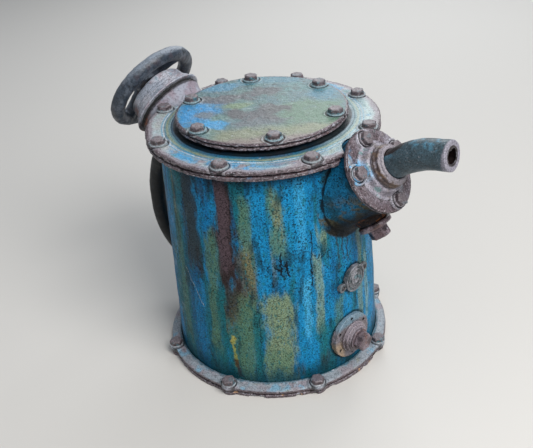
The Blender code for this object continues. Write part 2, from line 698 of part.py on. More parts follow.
def make_lid(parts, cutters):
    world = Matrix.Identity(4)
    places = circle_places(LID_BOLT_CIRCLE, LID_BOLT_START, LID_BOLTS)
    holes = rods("lid_holes", places, BOLT_SHANK + GAP, LID_FLANGE_BOTTOM - CUT_PAST,
                 LID_TOP + CUT_PAST, world, cutters)
    outline = [
        (0.0, LID_FLANGE_TOP), (LID_RADIUS, LID_FLANGE_TOP), (LID_RADIUS, LID_FLANGE_BOTTOM),
        (LID_SPIGOT_RADIUS, LID_FLANGE_BOTTOM), (LID_SPIGOT_RADIUS, LID_SPIGOT_BOTTOM),
        (LID_SPIGOT_INNER, LID_SPIGOT_BOTTOM), (LID_SPIGOT_INNER, LID_FLANGE_BOTTOM),
        (0.0, LID_FLANGE_BOTTOM),
    ]
    flange = turned("lid_flange", outline, world, parts, RUSTY_PAINT)
    turned("lid_gasket", ring_outline(LID_GASKET_RADIUS, LID_GASKET_INNER,
                                      LID_GASKET_BOTTOM, LID_GASKET_TOP),
           world, parts, RUBBER)
    cover = turned("lid_cover", rod_outline(LID_RADIUS, LID_COVER_BOTTOM, LID_TOP),
                   world, parts, RUSTY_PAINT)
    for plate in (flange, cover):
        boolean(plate, holes)
    length = LID_TOP + GAP - LID_FLANGE_BOTTOM
    mesh = bolt_mesh("lid_bolt", BOLT_FLATS, BOLT_HEAD, BOLT_SHANK, length, BOLT_WASHER, cutters)
    place_bolts("lid_bolt", mesh, places, LID_TOP + GAP, world, parts)


def make_outlet(parts, cutters):
    frame = branch_frame()
    places = outlet_bolt_places()
    holes = rods("outlet_holes", places, OUTLET_BOLT_SHANK + GAP, BRANCH_END,
                 OUTLET_FACE + CUT_PAST, frame, cutters)
    gasket = turned("outlet_gasket", ring_outline(BRANCH_END_RADIUS, BRANCH_END_BORE,
                                                  BRANCH_END + GAP, OUTLET_BACK - GAP),
                    frame, parts, RUBBER, sides=MEDIUM)
    boolean(gasket, holes)
    boss_top = OUTLET_FACE + OUTLET_BOSS_HEIGHT
    tube_hole = SPOUT_RADIUS + GAP
    outline = [
        (OUTLET_BOSS_TOP_RADIUS, boss_top), (OUTLET_BOSS_RADIUS, OUTLET_FACE),
        (OUTLET_FLANGE_RADIUS, OUTLET_FACE), (OUTLET_FLANGE_RADIUS, OUTLET_BACK),
        (tube_hole, OUTLET_BACK), (tube_hole, boss_top),
    ]
    flange = turned("outlet_flange", outline, frame, parts, IRON, sides=MEDIUM)
    boolean(flange, holes)
    collar_top = COLLAR_START + COLLAR_HEIGHT
    collar = [
        (COLLAR_TOP_RADIUS, collar_top), (COLLAR_RADIUS, COLLAR_START),
        (tube_hole, COLLAR_START), (tube_hole, collar_top + COLLAR_LIP_HEIGHT),
        (COLLAR_LIP_RADIUS, collar_top + COLLAR_LIP_HEIGHT), (COLLAR_LIP_RADIUS, collar_top),
    ]
    turned("spout_collar", collar, frame, parts, IRON, sides=MEDIUM)
    seat = OUTLET_FACE + GAP
    length = seat - BRANCH_END + OUTLET_BOLT_DEPTH - 2 * GAP
    mesh = bolt_mesh("outlet_bolt", OUTLET_BOLT_FLATS, OUTLET_BOLT_HEAD, OUTLET_BOLT_SHANK,
                     length, OUTLET_BOLT_WASHER, cutters)
    place_bolts("outlet_bolt", mesh, places, seat, frame, parts)

    world = Matrix.Identity(4)
    points = spout_points()
    tube = tube_mesh("spout_tube", points, SPOUT_RADIUS, SPOUT_ROUNDNESS, parts)
    smooth(tube)
    spout = add_object("spout_tube", tube, world, parts, SPOUT_PAINT)
    inside = tube_mesh("spout_bore", beyond_ends(points, CUT_PAST), SPOUT_BORE, PIPE_ROUNDNESS,
                       cutters)
    boolean(spout, add_object("spout_bore", inside, world, cutters))


def make_plug(name, flats, head_bottom, head_height, shank_end, frame, parts, cutters):
    """A plug with a wrench head; its shank runs down to shank_end."""
    head_top = head_bottom + head_height
    plug = hexagon(name, flats, head_bottom, head_top, frame, parts, IRON)
    shank = rod_outline(PLUG_SHANK, shank_end, head_bottom + PLUG_LAP)
    boolean(plug, turned(name + "_shank", shank, frame, cutters, sides=TURNING), "UNION")


def make_cleanout(parts, cutters):
    frame = cleanout_frame()
    start = CLEANOUT_BOSS_END + GAP
    end = start + CLEANOUT_COLLAR_THICKNESS
    turned("cleanout_washer", ring_outline(CLEANOUT_COLLAR_RADIUS, PLUG_HOLE, start, end),
           frame, parts, IRON, sides=MEDIUM)
    make_plug("cleanout_plug", CLEANOUT_FLATS, end + GAP, CLEANOUT_HEAD, CLEANOUT_SHANK_END,
              frame, parts, cutters)


def make_drain(parts, cutters):
    world = Matrix.Identity(4)
    frame = radial_frame(DRAIN_AZIMUTH, DRAIN_HEIGHT)
    outline = [
        (DRAIN_STEP_RADIUS, DRAIN_STEP_TOP), (DRAIN_STEP_RADIUS, DRAIN_COLLAR_TOP),
        (DRAIN_COLLAR_RADIUS, DRAIN_COLLAR_TOP), (DRAIN_COLLAR_RADIUS, DRAIN_FLANGE_FACE),
        (DRAIN_FLANGE_RADIUS, DRAIN_FLANGE_FACE), (DRAIN_FLANGE_RADIUS, DRAIN_FLANGE_BACK),
        (PLUG_HOLE, DRAIN_FLANGE_BACK), (PLUG_HOLE, DRAIN_STEP_TOP),
    ]
    flange = turned("drain_flange", outline, frame, parts, IRON, sides=MEDIUM)
    clear = turned("barrel_clear", barrel_outline(GAP, 0.0, CLEAR_TOP), world, cutters)
    boolean(flange, clear)
    screws = circle_places(DRAIN_SCREW_CIRCLE, DRAIN_SCREW_START, DRAIN_SCREW_COUNT)
    boolean(flange, rods("drain_screw_holes", screws, DRAIN_SCREW_HOLE, DRAIN_SCREW_FLOOR,
                         DRAIN_STEP_TOP, frame, cutters, SCREW_SIDES))
    washer_start = DRAIN_STEP_TOP + GAP
    washer_end = washer_start + DRAIN_WASHER_THICKNESS
    turned("drain_washer", ring_outline(DRAIN_WASHER_RADIUS, PLUG_HOLE, washer_start, washer_end),
           frame, parts, RUBBER, sides=BORE_SIDES)
    make_plug("drain_plug", DRAIN_FLATS, washer_end + GAP, DRAIN_HEAD, DRAIN_SHANK_END,
              frame, parts, cutters)
    return clear


def make_badge(parts, cutters, barrel_clear):
    tilt = Matrix.Rotation(radians(BADGE_TILT), 4, "Z")
    frame = radial_frame(BADGE_AZIMUTH, BADGE_HEIGHT) @ tilt
    outline = [
        (0.0, BADGE_FACE), (BADGE_RADIUS, BADGE_FACE), (BADGE_RADIUS, BADGE_BACK),
        (0.0, BADGE_BACK),
    ]
    badge = turned("badge_plate", outline, frame, parts, IRON, sides=MEDIUM)
    ears = [(-BADGE_EAR_OFFSET, 0.0), (BADGE_EAR_OFFSET, 0.0)]
    boolean(badge, rods("badge_ears", ears, BADGE_EAR_RADIUS, BADGE_BACK, BADGE_EAR_FACE,
                        frame, cutters, TURNING), "UNION")
    boolean(badge, barrel_clear)
    boolean(badge, rods("badge_holes", ears, RIVET_SHANK + GAP, BADGE_BACK - WALL, WALL,
                        frame, cutters))
    rivet = [
        (0.0, RIVET_HEAD), (RIVET_RADIUS * 0.7, RIVET_HEAD * 0.75), (RIVET_RADIUS, 0.0),
        (RIVET_SHANK, 0.0), (RIVET_SHANK, -RIVET_SHANK_LENGTH), (0.0, -RIVET_SHANK_LENGTH),
    ]
    for number, (x, y) in enumerate(ears, start=1):
        spot = frame @ Matrix.Translation((x, y, BADGE_EAR_FACE + GAP))
        turned(f"badge_rivet_{number}", rivet, spot, parts, IRON, sides=SMALL)


def make_valve_body(parts, cutters):
    """The pieces of the valve that stay still."""
    frame = valve_frame()
    turned("valve_seat", ring_outline(STUB_BORE - GAP, SEAT_BORE, SEAT_START,
                                      SEAT_START + SEAT_THICKNESS),
           frame, parts, BRASS, sides=MEDIUM)
    turned("valve_gasket", ring_outline(VALVE_GASKET_RADIUS, STUB_BORE, VALVE_GASKET_START,
                                        VALVE_GASKET_START + VALVE_GASKET_THICKNESS),
           frame, parts, RUBBER, sides=MEDIUM)
    lip = [
        (LIP_TOP_RADIUS, LIP_END), (LIP_RADIUS, LIP_START + LIP_EDGE), (LIP_RADIUS, LIP_START),
        (STUB_BORE, LIP_START), (STUB_BORE, LIP_END),
    ]
    turned("valve_lip", lip, frame, parts, IRON, sides=MEDIUM)
    bore = PACKING_RADIUS + GAP
    stem_hole = STEM_RADIUS + GAP
    cap_bottom = BONNET_TOP - BONNET_CAP
    packing_seat = cap_bottom + PACKING_FLOOR
    skirt = STUB_BORE - BONNET_SKIRT
    bonnet = [
        (BONNET_TOP_RADIUS, BONNET_TOP), (BONNET_RADIUS, BONNET_START), (skirt, BONNET_START),
        (skirt, cap_bottom), (stem_hole, cap_bottom), (stem_hole, packing_seat),
        (bore, packing_seat), (bore, BONNET_TOP),
    ]
    turned("valve_bonnet", bonnet, frame, parts, IRON, sides=MEDIUM)
    turned("valve_packing", ring_outline(PACKING_RADIUS, stem_hole, packing_seat + GAP,
                                         BONNET_TOP - GAP),
           frame, parts, RUBBER, sides=TURNING)
    gland = hexagon("gland_nut", GLAND_FLATS, GLAND_START, GLAND_TOP, frame, parts, BRASS)
    boolean(gland, rods("gland_bore", [(0.0, 0.0)], stem_hole, GLAND_START - CUT_PAST,
                        GLAND_TOP + CUT_PAST, frame, cutters, TURNING))


def make_valve_stem(parts):
    frame = valve_frame()
    disc_top = DISC_START + DISC_THICKNESS
    stem_hole = STEM_RADIUS + GAP
    disc = [
        (DISC_RADIUS - DISC_CHAMFER, disc_top), (DISC_RADIUS, disc_top - DISC_CHAMFER),
        (DISC_RADIUS, DISC_START), (stem_hole, DISC_START), (stem_hole, disc_top),
    ]
    turned("valve_disc", disc, frame, parts, BRASS, sides=MEDIUM)
    turned("valve_stem", rod_outline(STEM_RADIUS, DISC_START + GAP, STEM_END), frame, parts,
           STEEL, sides=TURNING)


def make_handwheel(parts, cutters):
    """Rim, spokes and hub in one casting, with its nut."""
    frame = valve_frame()
    outline = []
    for k in range(SMALL):
        angle = -2.0 * pi * k / SMALL
        outline.append((WHEEL_RADIUS + WHEEL_TUBE * cos(angle),
                        WHEEL_STATION + WHEEL_TUBE * sin(angle)))
    wheel = turned("handwheel", outline, frame, parts, DARK_IRON, sides=MEDIUM)
    hub = turned("hub_solid", rod_outline(HUB_RADIUS, HUB_BOTTOM, HUB_TOP), off_seam(frame),
                 cutters, sides=MEDIUM)
    hub_middle = (HUB_BOTTOM + HUB_TOP) / 2
    for number in range(WHEEL_SPOKES):
        angle = radians(WHEEL_SPOKE_START + 360.0 * number / WHEEL_SPOKES)
        outward = Vector((cos(angle), sin(angle), 0.0))
        inner = outward * HUB_RADIUS / 2 + Vector((0.0, 0.0, hub_middle))
        outer = outward * WHEEL_RADIUS + Vector((0.0, 0.0, WHEEL_STATION))
        spoke_frame = frame @ axis_frame(inner, outer - inner, outward.cross(Vector((0, 0, 1))))
        length = (outer - inner).length
        spoke = turned(f"spoke_solid_{number}", rod_outline(WHEEL_SPOKE_RADIUS, 0.0, length),
                       spoke_frame, cutters, sides=SMALL)
        boolean(wheel, spoke, "UNION")
    boolean(wheel, hub, "UNION")
    stem_room = rods("wheel_bore", [(0.0, 0.0)], STEM_RADIUS + GAP, HUB_BOTTOM - CUT_PAST,
                     HUB_TOP + WHEEL_NUT_HEIGHT + CUT_PAST, frame, cutters, TURNING)
    boolean(wheel, stem_room)
    nut_start = HUB_TOP + GAP
    nut = hexagon("wheel_nut", WHEEL_NUT_FLATS, nut_start, nut_start + WHEEL_NUT_HEIGHT,
                  frame, parts, IRON)
    boolean(nut, stem_room)


def make_bypass_pipe(parts, cutters):
    world = Matrix.Identity(4)
    points = pipe_points()
    mesh = tube_mesh("bypass_pipe", points, PIPE_RADIUS, PIPE_ROUNDNESS, parts)
    smooth(mesh)
    pipe = add_object("bypass_pipe", mesh, world, parts, DARK_IRON)
    inside = tube_mesh("pipe_bore", beyond_ends(points, CUT_PAST), PIPE_BORE, PIPE_ROUNDNESS,
                       cutters)
    boolean(pipe, add_object("pipe_bore", inside, world, cutters))


def main():
    clear_scene()
    parts, cutters = make_collections()
    make_body_shell(parts, cutters)
    make_base(parts, cutters)
    make_head(parts, cutters)
    make_lid(parts, cutters)
    make_outlet(parts, cutters)
    make_cleanout(parts, cutters)
    barrel_clear = make_drain(parts, cutters)
    make_badge(parts, cutters, barrel_clear)
    make_valve_body(parts, cutters)
    make_valve_stem(parts)
    make_handwheel(parts, cutters)
    make_bypass_pipe(parts, cutters)


main()
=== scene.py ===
"""Looks of the hand well pump: worn, salt-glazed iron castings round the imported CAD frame.

Metres, +Z up, +X to the spout. Round pieces are turned from outlines with real dents,
chips and grooves; cast pieces are fused into one soft skin. Every colour is made by nodes.
"""

from math import ceil, cos, pi, radians, sin

import bmesh
import bpy
import numpy as np
from mathutils import Matrix, Vector


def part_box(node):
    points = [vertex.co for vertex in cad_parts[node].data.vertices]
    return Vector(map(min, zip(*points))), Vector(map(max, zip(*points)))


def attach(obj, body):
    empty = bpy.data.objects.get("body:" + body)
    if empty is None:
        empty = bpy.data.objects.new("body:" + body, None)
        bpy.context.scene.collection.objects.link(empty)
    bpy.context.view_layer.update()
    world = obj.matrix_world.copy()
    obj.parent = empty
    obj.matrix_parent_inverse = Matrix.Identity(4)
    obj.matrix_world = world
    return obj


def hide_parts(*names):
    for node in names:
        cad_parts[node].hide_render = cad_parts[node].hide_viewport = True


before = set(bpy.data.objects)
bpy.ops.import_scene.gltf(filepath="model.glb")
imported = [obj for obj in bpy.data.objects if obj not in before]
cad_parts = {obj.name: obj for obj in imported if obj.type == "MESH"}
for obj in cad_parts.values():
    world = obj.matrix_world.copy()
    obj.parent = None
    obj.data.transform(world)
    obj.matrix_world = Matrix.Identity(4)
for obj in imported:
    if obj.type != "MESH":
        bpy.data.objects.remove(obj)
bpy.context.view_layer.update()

WORLD = Matrix.Identity(4)
SIDES = 540                     # sides of the large turned plates
SMALL_SIDES = 200               # sides of the turned pieces on the branches
FINE = 0.0006                   # spacing of the points on a visible outline
COARSE = 0.006                  # spacing where nobody looks

# Heights and radii: the frame's own boxes, and what lies between them
RING_RADIUS = 0.095
RING_TOP = 0.2102
RING_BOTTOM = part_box("top_ring")[0].z
NECK_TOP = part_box("top_ring")[1].z
BODY_FLANGE_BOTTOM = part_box("body_flange")[0].z
BODY_FLANGE_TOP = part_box("body_flange")[1].z
LID_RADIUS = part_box("lid_cover")[1].x
LID_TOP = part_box("lid_cover")[1].z
LID_COVER_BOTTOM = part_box("lid_cover")[0].z
LID_FLANGE_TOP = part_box("lid_flange")[1].z
LID_FLANGE_BOTTOM = 0.2144
SPIGOT_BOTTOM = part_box("lid_flange")[0].z
BASE_RADIUS = 0.0995
BASE_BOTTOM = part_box("base_flange")[0].z
PLATE_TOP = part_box("bottom_plate")[1].z
BARREL_TOP = 0.2021
BARREL_WALL = 0.005
SHELL_RADIUS = 0.0871           # of the barrel, where the branch leaves it
LUG_CIRCLE = 0.0955
LUG_RADIUS = 0.0084
LUG_FOOT_RADIUS = 0.0070
LUG_BLEND = 0.0013
LUG_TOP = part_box("base_flange")[1].z
DECK_INNER = 0.057
MOUTH_RADIUS = 0.055
NECK_RADIUS = 0.0615
STEP_RADIUS = 0.077

# Bolt circles: radius, first angle in degrees, count
RING_BOLTS = (0.088, 18.4, 8)
LID_BOLTS = (0.0619, 17.8, 6)
BASE_BOLTS = (0.098, 13.0, 8)
DRAIN_SCREWS = (0.0168, 30.0, 6)
OUTLET_BOLT_CIRCLE = 0.0258
OUTLET_BOLT_ANGLES = (90.0, 164.0, 270.0, 16.0)
WASHER = 0.0070
BASE_WASHER = 0.0062
OUTLET_WASHER = 0.0056

# Outlet branch and spout, along the branch's own axis
BRANCH_SLOPE = radians(34.7)
BRANCH_HEIGHT = 0.116
BRANCH_END = 0.1292
BRANCH_ROOT = 0.070             # where its visible cone starts
BRANCH_ROOT_RADIUS = 0.0345
BRANCH_TAPER = 0.077
OUTLET_BACK = 0.1312
OUTLET_FACE = 0.1367
OUTLET_RADIUS = 0.0331
SPOUT_RADIUS = 0.0113
SPOUT_BORE = 0.0068
SPOUT_START = 0.124             # hidden in the branch
BEND_START = 0.159
BEND_RADIUS = 0.066             # of the spout's middle line
BEND_STEPS = 24
TAIL_SLOPE = radians(9.0)
TAIL_LENGTH = 0.011

# Valve, along its own axis
VALVE_SLOPE = radians(34.6)
VALVE_HEIGHT = 0.1255
LIP_START = 0.1321
LIP_END = 0.1387
BONNET_TOP = 0.150
WHEEL_STATION = 0.1548
WHEEL_RADIUS = 0.0388
WHEEL_TUBE = 0.0063
WHEEL_NUT_START = 0.1663
WHEEL_SPOKE_START = 117.0


def axis_frame(origin, along, side):
    """A matrix whose Z is along and whose X is as near to side as it can be."""
    z = Vector(along).normalized()
    x = (Vector(side) - z * Vector(side).dot(z)).normalized()
    y = z.cross(x)
    made = Matrix((x, y, z)).transposed().to_4x4()
    made.translation = Vector(origin)
    return made


def barrel_radius(height):
    """The barrel's outer radius, which shrinks a little with height."""
    return 0.0902 - 0.0267 * height


def radial_frame(azimuth, height):
    """X along the barrel's surface, Y up and Z outwards, with its origin on the barrel."""
    angle = radians(azimuth)
    outward = Vector((cos(angle), sin(angle), 0.0))
    origin = outward * barrel_radius(height) + Vector((0.0, 0.0, height))
    return axis_frame(origin, outward, (-sin(angle), cos(angle), 0.0))


BRANCH = axis_frame((0, 0, BRANCH_HEIGHT), (cos(BRANCH_SLOPE), 0, sin(BRANCH_SLOPE)), (0, 1, 0))
VALVE = axis_frame((0, 0, VALVE_HEIGHT), (-cos(VALVE_SLOPE), 0, sin(VALVE_SLOPE)), (0, -1, 0))
CLEANOUT = axis_frame(BRANCH @ Vector((0, 0, 0.104)), (sin(BRANCH_SLOPE), 0, -cos(BRANCH_SLOPE)),
                      (0, 1, 0))
TAIL = axis_frame((0.1688, 0, 0.2192), (cos(TAIL_SLOPE), 0, sin(TAIL_SLOPE)), (0, 1, 0))
DRAIN = radial_frame(-7.5, 0.0365)
BADGE = radial_frame(-3.0, 0.0905) @ Matrix.Rotation(radians(12.0), 4, "Z")


def circle_places(circle, start, count):
    angles = [radians(start + 360.0 * k / count) for k in range(count)]
    return [(circle * cos(a), circle * sin(a)) for a in angles]


OUTLET_PLACES = [(OUTLET_BOLT_CIRCLE * cos(radians(a)), OUTLET_BOLT_CIRCLE * sin(radians(a)))
                 for a in OUTLET_BOLT_ANGLES]


# ---------------------------------------------------------------- repeatable noise

def cell_value(cells, seed):
    """A repeatable number from -1 to 1 for each whole-number cell; the primes mix its bits."""
    x, y, z = (cells[..., k].astype(np.uint64) for k in range(3))
    mixed = x * np.uint64(73856093) ^ y * np.uint64(19349663) ^ z * np.uint64(83492791)
    mixed = (mixed + np.uint64(seed * 7919 + 17)) * np.uint64(6364136223846793005)
    mixed = (mixed ^ (mixed >> np.uint64(31))) * np.uint64(2685821657736338717)
    return (mixed >> np.uint64(40)).astype(float) / 2.0 ** 23 - 1.0


def noise(points, size, seed):
    """Smooth noise from -1 to 1 with features of about the given size."""
    spots = np.asarray(points, float) / size
    low = np.floor(spots)
    part = spots - low
    part = part * part * (3.0 - 2.0 * part)
    cells = low.astype(np.int64)
    total = np.zeros(len(spots))
    for corner in range(8):
        step = np.array([corner & 1, corner >> 1 & 1, corner >> 2 & 1])
        share = np.prod(np.where(step == 1, part, 1.0 - part), axis=1)
        total += share * cell_value(cells + step, seed)
    return total


def rough(points, size, seed, octaves=3):
    """Layers of noise, each half the size and half the strength of the one before."""
    total = sum(noise(points, size / 2 ** k, seed + k) / 2 ** k for k in range(octaves))
    return total / sum(0.5 ** k for k in range(octaves))


def fade(values, low, high):
    """0 below low, 1 above high, and smooth between."""
    t = np.clip((values - low) / (high - low), 0.0, 1.0)
    return t * t * (3.0 - 2.0 * t)


# ---------------------------------------------------------------- solids

def soft(outline, step=FINE, passes=3, closed=True):
    """An outline with a point every step along it and its corners eased."""
    corners = [np.array(p, float) for p in outline]
    if closed:
        corners.append(corners[0])
    points = []
    for a, b in zip(corners, corners[1:]):
        count = max(1, ceil(np.linalg.norm(b - a) / step))
        points += [a + (b - a) * k / count for k in range(count)]
    if not closed:
        points.append(corners[-1])
    points = np.array(points)
    for _ in range(passes):
        eased = (np.roll(points, 1, 0) + 2.0 * points + np.roll(points, -1, 0)) / 4.0
        if not closed:
            eased[0], eased[-1] = points[0], points[-1]
        points = eased
    return points


def thinned(points, seen, spacing=COARSE):
    """Fewer points where the outline is straight and seen(radius, height) is false."""
    kept = [points[0]]
    for before, here, after in zip(points, points[1:], points[2:]):
        turn = np.cross(here - before, after - here)
        bent = abs(turn) > 1e-3 * np.linalg.norm(here - before) * np.linalg.norm(after - here)
        far = np.linalg.norm(here - kept[-1]) > spacing
        if seen(*here) or bent or far:
            kept.append(here)
    kept.append(points[-1])
    return np.array(kept)


def lathe(outline, sides=SMALL_SIDES, place=WORLD):
    """An outline of (radius, height) turned about Z; one that ends on the axis is capped."""
    outline = np.asarray(outline, float)
    capped = outline[0][0] < 1e-9
    rows = outline[1:-1] if capped else outline
    angles = 2.0 * pi * np.arange(sides) / sides
    around = np.stack([np.cos(angles), np.sin(angles)], 1)
    points = np.empty((sides, len(rows), 3))
    points[:, :, :2] = around[:, None, :] * rows[None, :, 0:1]
    points[:, :, 2] = rows[None, :, 1]
    points = points.reshape(-1, 3)
    count = len(rows)
    last = count - 1 if capped else count
    faces = []
    for a in range(sides):
        here, there = a * count, (a + 1) % sides * count
        for k in range(last):
            n = (k + 1) % count
            faces.append((here + k, there + k, there + n, here + n))
    if capped:
        first, end = len(points), len(points) + 1
        points = np.vstack([points, [(0, 0, outline[0][1]), (0, 0, outline[-1][1])]])
        for a in range(sides):
            here, there = a * count, (a + 1) % sides * count
            faces.append((first, there, here))
            faces.append((end, here + last, there + last))
    return moved(points, place), faces


def moved(points, place):
    """The points of a frame, in the world."""
    matrix = np.array(place)
    return points @ matrix[:3, :3].T + matrix[:3, 3]


def ring(outer, inner, bottom, top):
    """The outline of a square-edged ring."""
    return [(inner, bottom), (outer, bottom), (outer, top), (inner, top)]


def rod(radius, bottom, top):
    """The outline of a plain cylinder."""
    return [(0.0, bottom), (radius, bottom), (radius, top), (0.0, top)]


def hexagon(flats, bottom, top, place, chamfer=0.0008):
    """A hexagon prism whose top edge is chamfered."""
    corner = flats / 2 / cos(pi / 6)
    outline = [(0.0, bottom), (corner, bottom), (corner, top - chamfer),
               (corner - chamfer * 1.3, top), (0.0, top)]
    return lathe(outline, 6, place)


def swept(path, stations, sides=72):
    """A tube along a path in the plane y = 0, through stations of (share of the path, radius)."""
    path = np.array(path, float)
    lengths = np.concatenate([[0.0], np.cumsum(np.linalg.norm(np.diff(path, axis=0), axis=1))])
    angles = 2.0 * pi * np.arange(sides) / sides
    points = []
    for share, radius in stations:
        at = share * lengths[-1]
        ahead, behind = min(at + 0.002, lengths[-1]), max(at - 0.002, 0.0)
        middle, tip, tail = ([np.interp(d, lengths, path[:, k]) for k in range(3)]
                             for d in (at, ahead, behind))
        along = Vector(tip) - Vector(tail)
        along.normalize()
        side = Vector((0.0, 1.0, 0.0))
        up = along.cross(side)
        points += [Vector(middle) + (side * cos(a) + up * sin(a)) * radius for a in angles]
    count = len(stations)
    faces = []
    for k in range(count):
        n = (k + 1) % count
        for a in range(sides):
            b = (a + 1) % sides
            faces.append((k * sides + a, k * sides + b, n * sides + b, n * sides + a))
    return np.array(points), faces


def cad_solid(node):
    """The points and faces of a CAD node."""
    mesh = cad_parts[node].data
    points = np.array([v.co for v in mesh.vertices])
    return points, [tuple(p.vertices) for p in mesh.polygons]


# ---------------------------------------------------------------- pieces

def piece(name, *solids):
    """One object made of the solids, welded, with its faces pointing out."""
    points, faces = [], []
    for solid_points, solid_faces in solids:
        start = len(points)
        points += [tuple(p) for p in solid_points]
        faces += [tuple(start + i for i in face) for face in solid_faces]
    mesh = bpy.data.meshes.new(name)
    mesh.from_pydata(points, [], faces)
    shape = bmesh.new()
    shape.from_mesh(mesh)
    bmesh.ops.remove_doubles(shape, verts=shape.verts, dist=0.000005)
    bmesh.ops.recalc_face_normals(shape, faces=shape.faces)
    shape.to_mesh(mesh)
    shape.free()
    mesh.shade_smooth()
    obj = bpy.data.objects.new(name, mesh)
    bpy.context.scene.collection.objects.link(obj)
    return obj


def apply_modifiers(obj):
    """Makes what the modifiers show into the piece's own mesh."""
    graph = bpy.context.evaluated_depsgraph_get()
    mesh = bpy.data.meshes.new_from_object(obj.evaluated_get(graph))
    obj.modifiers.clear()
    obj.data = mesh
    mesh.shade_smooth()
    return obj


def fused(name, *solids, voxel=0.0004, easing=3):
    """One soft skin round all the solids."""
    obj = piece(name, *solids)
    skin = obj.modifiers.new("skin", "REMESH")
    skin.mode = "VOXEL"
    skin.voxel_size = voxel
    ease = obj.modifiers.new("ease", "SMOOTH")
    ease.factor = 0.5
    ease.iterations = easing
    return apply_modifiers(obj)


def carve(obj, *solids):
    """Cuts the solids out of the piece."""
    for number, solid in enumerate(solids):
        cutter = piece(f"cutter_{number}", solid)
        cut = obj.modifiers.new("cut", "BOOLEAN")
        cut.operation = "DIFFERENCE"
        cut.solver = "MANIFOLD"
        cut.object = cutter
        apply_modifiers(obj)
        bpy.data.objects.remove(cutter)


def read_points(obj):
    points = np.empty(len(obj.data.vertices) * 3)
    obj.data.vertices.foreach_get("co", points)
    return points.reshape(-1, 3)


def read_normals(obj):
    normals = np.empty(len(obj.data.vertices) * 3)
    obj.data.vertex_normals.foreach_get("vector", normals)
    return normals.reshape(-1, 3)


def write_points(obj, points):
    obj.data.vertices.foreach_set("co", np.asarray(points, float).ravel())
    obj.data.update()


def local(points, place):
    """The points of the world, in a frame."""
    return moved(points, place.inverted())


def away_from(points, x=0.0, y=0.0):
    """How far the points are from a line along Z."""
    return np.hypot(points[:, 0] - x, points[:, 1] - y)


def outside(low, high, place=WORLD):
    """Where to weather: nothing within the low radius, everything beyond the high one."""
    return lambda points: fade(away_from(local(points, place)), low, high)


def weather(obj, *layers, seed=1, where=None):
    """Pushes the surface in and out by layers of (size, depth) noise."""
    points, normals = read_points(obj), read_normals(obj)
    push = sum(depth * rough(points, size, seed + 11 * k) for k, (size, depth) in enumerate(layers))
    if where is not None:
        push = push * where(points)
    write_points(obj, points + normals * push[:, None])


def chip(obj, radius, reach, depth, size, seed, cover):
    """Breaks small chips out of the outer edge of a turned piece."""
    points, normals = read_points(obj), read_normals(obj)
    edge = fade(away_from(points), radius - reach, radius - reach * 0.2)
    broken = fade(rough(points, size, seed), cover, cover + 0.25)
    write_points(obj, points - normals * (edge * broken * depth)[:, None])


def sink_round(obj, place, spots, radius, depth, width, level):
    """Presses a groove round each of the spots into the face above the given level."""
    points = read_points(obj)
    here = local(points, place)
    drop, lift = np.zeros(len(here)), np.zeros(len(here))
    for x, y in spots:
        away = away_from(here, x, y)
        drop = np.maximum(drop, depth * np.exp(-((away - radius) / width) ** 2))
        beside = away - radius - 2.4 * width
        lift = np.maximum(lift, depth * 0.8 * np.exp(-(beside / width) ** 2))
    here[:, 2] -= (drop - lift) * (here[:, 2] > level)
    write_points(obj, moved(here, place))


def finish(obj, body, slot, material, *nodes):
    """Hands a piece over: its body, material and the CAD nodes it stands for; the slot is not used.
    """
    obj.data.materials.clear()
    obj.data.materials.append(material)
    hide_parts(*nodes)
    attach(obj, body)


# ---------------------------------------------------------------- paint

def tint(code):
    """A linear colour from a hex code."""
    parts = [int(code[k:k + 2], 16) / 255.0 for k in (0, 2, 4)]
    linear = [p / 12.92 if p <= 0.04045 else ((p + 0.055) / 1.055) ** 2.4 for p in parts]
    return (*linear, 1.0)


class Value:
    """A number made by nodes, with plain arithmetic."""

    def __init__(self, paint, socket):
        self.paint = paint
        self.socket = socket

    def __abs__(self):
        return self.paint.maths("ABSOLUTE", self)

    def __add__(self, other):
        return self.paint.maths("ADD", self, other)

    def __sub__(self, other):
        return self.paint.maths("SUBTRACT", self, other)

    def __rsub__(self, other):
        return self.paint.maths("SUBTRACT", other, self)

    def __mul__(self, other):
        return self.paint.maths("MULTIPLY", self, other)

    def __truediv__(self, other):
        return self.paint.maths("DIVIDE", self, other)

    __radd__ = __add__
    __rmul__ = __mul__


